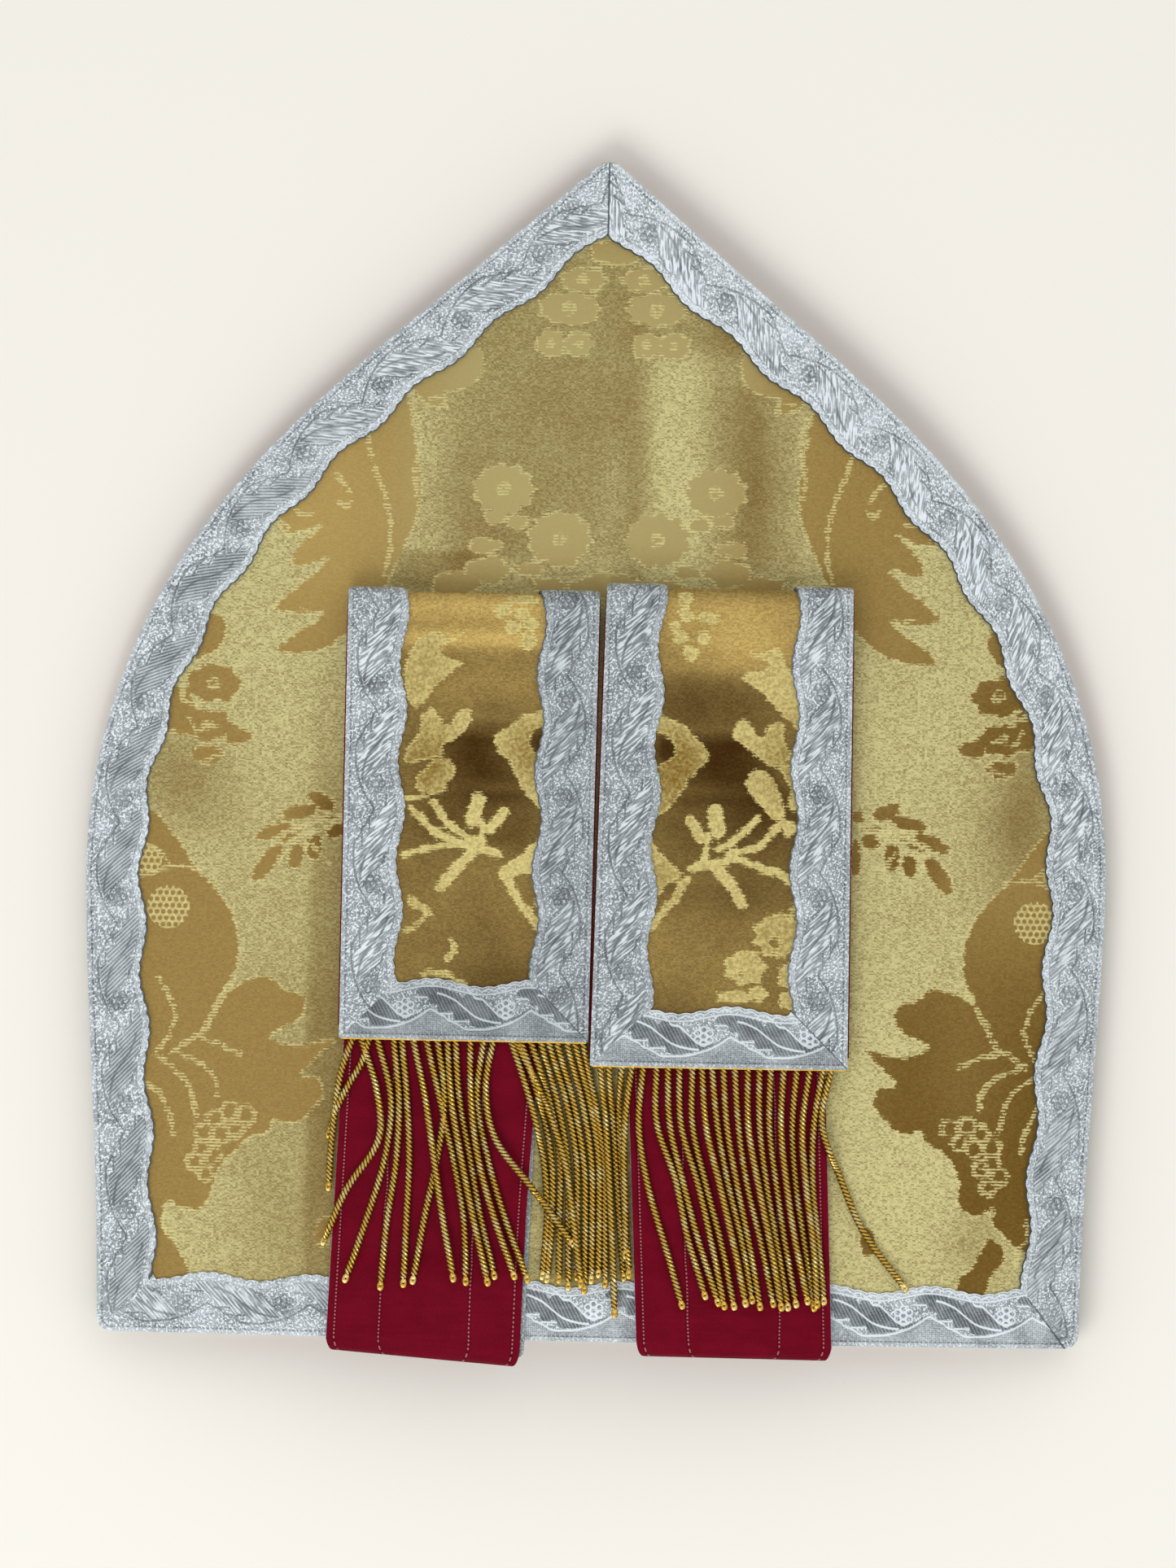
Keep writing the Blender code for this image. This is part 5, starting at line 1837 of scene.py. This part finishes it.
print(len(LEFT_CORDS), "and", len(RIGHT_CORDS), "cords")

# %% [markdown]
# A cord lies on whatever is under it: a lappet's silk, the rim's braid or the bare brocade. So its
# height is worked out from them, and only its way across is charted.

# %% The line of a cord
CORD = 2.4
PITCH = 4.0  # one full turn of the twist
PER_TURN = 12  # rows of points in one turn
TUCKED = 0.03  # of its reach, under the braid's edge
CROSSING = 0.8  # of a cord's thickness, by which it rises over another
CROSSES = (8, 24)  # below the braid, where it rises
FALLS = (-1, 15)  # below the braid, where it comes down to its bed
OFF_BRAID = (3, 12)  # above the rim's braid, where it comes down from that
OFF_CLOTH = (3, 0.5)  # beside a lappet, where it comes up onto it


def cord_bed(x, y):
    """Height over the back shield of what a cord lies on."""
    start, stop = (BRAID_WIDTH + above for above in OFF_BRAID)
    far, near = OFF_CLOTH
    over_braid = (OVER_BRAID - LYING) * (1 - ease(start, stop, y))
    strip = np.zeros(len(x))
    for lappet in lappets:
        s = lappet.fold_start - (lappet.line.at(lappet.fold_start)[0] - y)
        left, right = lappet.edges(s)
        between = ease(left - far, left - near, x) * ease(right + far, right + near, x)
        strip = np.maximum(strip, between)
    on_cloth = LYING + CLOTH + GAP + LINING + over_braid
    on_shield = (GAP + BRAID) * (1 - ease(start - 2, start + 1, y))
    return strip * on_cloth + (1 - strip) * on_shield


def cord_line(lappet, cord):
    """The middle of a cord, from under the braid's edge to its loop."""
    places = [0, 0.25, 0.5, 0.75, 1]
    share = np.linspace(-TUCKED, 1, int(cord.reach / PITCH * PER_TURN))
    x = smooth(list(zip(places, cord[:5])), share)
    fallen = cord.reach * share
    y = lappet.end - fallen
    bed = cord_bed(x, y) + GAP + CORD / 2 + cord.over * CORD * CROSSING * ease(*CROSSES, fallen)
    start = RESTING - CORD / 2
    height = bed + (start - bed) * (1 - ease(*FALLS, fallen))
    return Line(np.stack([x, y, back_outside(x, y) + height], -1))


print(f"cords of {CORD} mm")

# %% [markdown]
# Every point of a cord also writes down how far out its strand stands there and how far round to
# the side it is. The finish paints shade into the valleys between the strands and onto the
# cord's two sides.

# %% Twisting a cord
STRANDS = 3
ROUND = 12  # points round a cord
LOBE = 0.3  # of the radius, how far a strand stands out
TAPER, NARROWEST = 1.2, 0.45  # before the loop, a cord narrows to that share
Loop = namedtuple("Loop", "half_width half_length wire set_on")
LOOP = Loop(0.62, 1.0, 0.5, 0.75)
LOOP_STRAND = (0.42, 0.3, 0)  # what its points write down


def twist_cord(bm, line, turn):
    """A tube whose lobes wind round each other along the line."""
    rows = len(line.points) - 1
    made = bmesh.ops.create_grid(bm, x_segments=ROUND, y_segments=rows, size=0.5)["verts"]
    chart = np.array([v.co[:2] for v in made]) + 0.5
    row = np.rint(chart[:, 1] * rows).astype(int)
    angle = chart[:, 0] * 2 * math.pi
    way = line.ways[row]
    level = np.cross(way, np.array([0, 0, 1.0]))
    level /= np.linalg.norm(level, axis=1)[:, None]
    up = np.cross(level, way)
    wound = 2 * math.pi * line.marks[row] / PITCH + turn
    lobe = 0.5 + 0.5 * np.cos(STRANDS * angle)
    # how far round to the side, which the finish paints in shade
    lean = np.abs(np.cos(angle + wound))
    radius = CORD / 2 * (1 - LOBE + LOBE * lobe)
    radius *= np.clip((line.length - line.marks[row]) / TAPER, NARROWEST, 1)
    points = (line.points[row] + level * (radius * np.cos(angle + wound))[:, None]
              + up * (radius * np.sin(angle + wound))[:, None])
    strand = bm.verts.layers.float_vector["strand"]
    for v, point, high, aside in zip(made, points, lobe, lean):
        v.co = point
        v[strand] = (high, aside, 0)
    return made


def add_loop(bm, line):
    """The small loop at a cord's end: a ring drawn out along the cord."""
    strand = bm.verts.layers.float_vector["strand"]
    wide, long = LOOP.half_width, LOOP.half_length
    ring = bmesh.ops.create_circle(bm, segments=6, radius=LOOP.wire)["verts"]
    bmesh.ops.rotate(bm, cent=(0, 0, 0), matrix=Matrix.Rotation(math.pi / 2, 3, "X"), verts=ring)
    bmesh.ops.translate(bm, vec=(wide, 0, 0), verts=ring)
    edges = list({e for v in ring for e in v.link_edges})
    before = len(bm.faces)
    bmesh.ops.spin(bm, geom=edges, cent=(0, 0, 0), axis=(0, 0, 1), angle=2 * math.pi, steps=12,
                   use_merge=True, use_normal_flip=False)
    way = Vector(line.ways[-1])
    turn = Matrix.Rotation(math.atan2(way.y, way.x) - math.pi / 2, 3, "Z")
    middle = Vector(line.points[-1]) + way * long * LOOP.set_on
    bm.faces.ensure_lookup_table()
    for v in {v for f in bm.faces[before:] for v in f.verts}:
        v.co.y += (long - wide) * max(-1.0, min(1.0, v.co.y / wide))
        v.co = turn @ v.co + middle
        v[strand] = LOOP_STRAND


print(f"loops {2 * (LOOP.half_length + LOOP.wire):.0f} mm long")

# %% [markdown]
# The cords are wound with gilt thread. Each fringe is one mesh: its cords, their loops and the
# woven heading that holds them, which is hidden under the braid.

# %% The cords and their heading
GILT_DEPTH = 0.06
TWIST_APART = 2.4  # radians between the twists of two neighbours
HEADING_THICK, HEADING_DEEP, HEADING_UP = 1.6, 3.2, 1.2  # the last is its middle, above the end
HEADING_INSET, HEADING_CLEAR = 0.6, 0.1
HEADING_COLUMNS = 60
HEADING_STRAND = (0.6, 0, 0)
bullion = Finish("bullion", roughness=0.3, metallic=0.7)


def finish_bullion():
    """It reads strand = (how far out a point stands, how far to the side, 0)."""
    x, y, z = bullion.place()
    high, aside, _ = bullion.written("strand")
    grain = bullion.noise(x, y, z, 2.6)
    glint = bullion.noise(x, y, z, 0.25, detail=1.0).step(0.45, 0.7)
    # painted shade in the valleys between the strands and on the cord's sides; glint is a painted
    # highlight
    share = (high + (grain - 0.5) * 0.2).step(0.12, 0.62) * (1 - aside.step(0.45, 0.95) * 0.75)
    colour = bullion.blend(share, dye(48, 26, 0), dye(240, 196, 80))
    colour = bullion.blend(share * glint * 0.65, colour, dye(255, 242, 176))
    bullion.ends(Base_Color=colour)
    bullion.relief(grain, GILT_DEPTH)


finish_bullion()


def make_fringe(lappet, cords):
    """Every cord with its loop, and the heading."""
    name = f"{lappet.name}_fringe_cords"
    bm = bmesh.new()
    strand = bm.verts.layers.float_vector.new("strand")
    for i, cord in enumerate(cords):
        line = cord_line(lappet, cord)
        tube = twist_cord(bm, line, TWIST_APART * i)
        ends = [v for v in tube if v.is_boundary]
        bmesh.ops.remove_doubles(bm, verts=ends, dist=0.001)
        open_edges = list({e for v in tube if v.is_valid for e in v.link_edges if e.is_boundary})
        bmesh.ops.holes_fill(bm, edges=open_edges, sides=ROUND + 1)
        add_loop(bm, line)
    left, right = lappet.edges(np.array([lappet.line.length]))
    x0, x1 = left[0] + HEADING_INSET, right[0] - HEADING_INSET
    heading = bmesh.ops.create_grid(bm, x_segments=HEADING_COLUMNS, y_segments=1, size=0.5)["verts"]
    for v in heading:
        v.co.x = x0 + (x1 - x0) * (v.co.x + 0.5)
        v.co.y = lappet.end + HEADING_UP + HEADING_DEEP * v.co.y
        v.co.z = float(back_outside(v.co.x, v.co.y)) + RESTING - HEADING_THICK
    faces = list({f for v in heading for f in v.link_faces})
    lid = bmesh.ops.extrude_face_region(bm, geom=faces, use_keep_orig=True)["geom"]
    lid = [v for v in lid if isinstance(v, bmesh.types.BMVert)]
    bmesh.ops.translate(bm, vec=(0, 0, HEADING_THICK - HEADING_CLEAR), verts=lid)
    for v in heading + lid:
        v[strand] = HEADING_STRAND
    mesh = bpy.data.meshes.new(name)
    bm.to_mesh(mesh)
    bm.free()
    return hang_up(name, mesh, [bullion.material], f"{lappet.name}_fringe", 60)


fringes = [make_fringe(l, c) for l, c in zip(lappets, (LEFT_CORDS, RIGHT_CORDS))]

# %% [markdown]
# ## The web between the horns
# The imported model's web already has its true folds and lies mostly hidden between the shields,
# so it only changes its finish.

# %% The web's silk
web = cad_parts["crown_web"]
for slot in web.material_slots:
    slot.material = plain_silk
print(f"the web has {len(web.material_slots)} finish")

# %% [markdown]
# ## What each cloth was cut from
# Here the size that each cloth had on the cutting table is worked out. The shields were cut flat
# to their outline, and a lappet is a strip as long as its whole path.

# %% Sheets


def cut_size(lappet):
    """Flat width and length of a lappet, in metres."""
    left, right = lappet.edges(lappet.line.marks)
    return (right - left).max() * MM, lappet.line.length * MM


heights = np.linspace(0, HEIGHT, 400)
shield_area = 2 * np.trapz(half_width(heights), heights) * MM**2
shield_flat = (2 * half_width(heights).max() * MM, HEIGHT * MM)
for lappet, cloth, lining, braid, fringe in zip(lappets, lappet_cloths, lappet_silks,
                                                lappet_galloons, fringes):
    width, length = cut_size(lappet)
    left, right = lappet.edges(lappet.line.marks)
print("cut flat, a shield is", [round(size / MM, 1) for size in shield_flat], "mm")
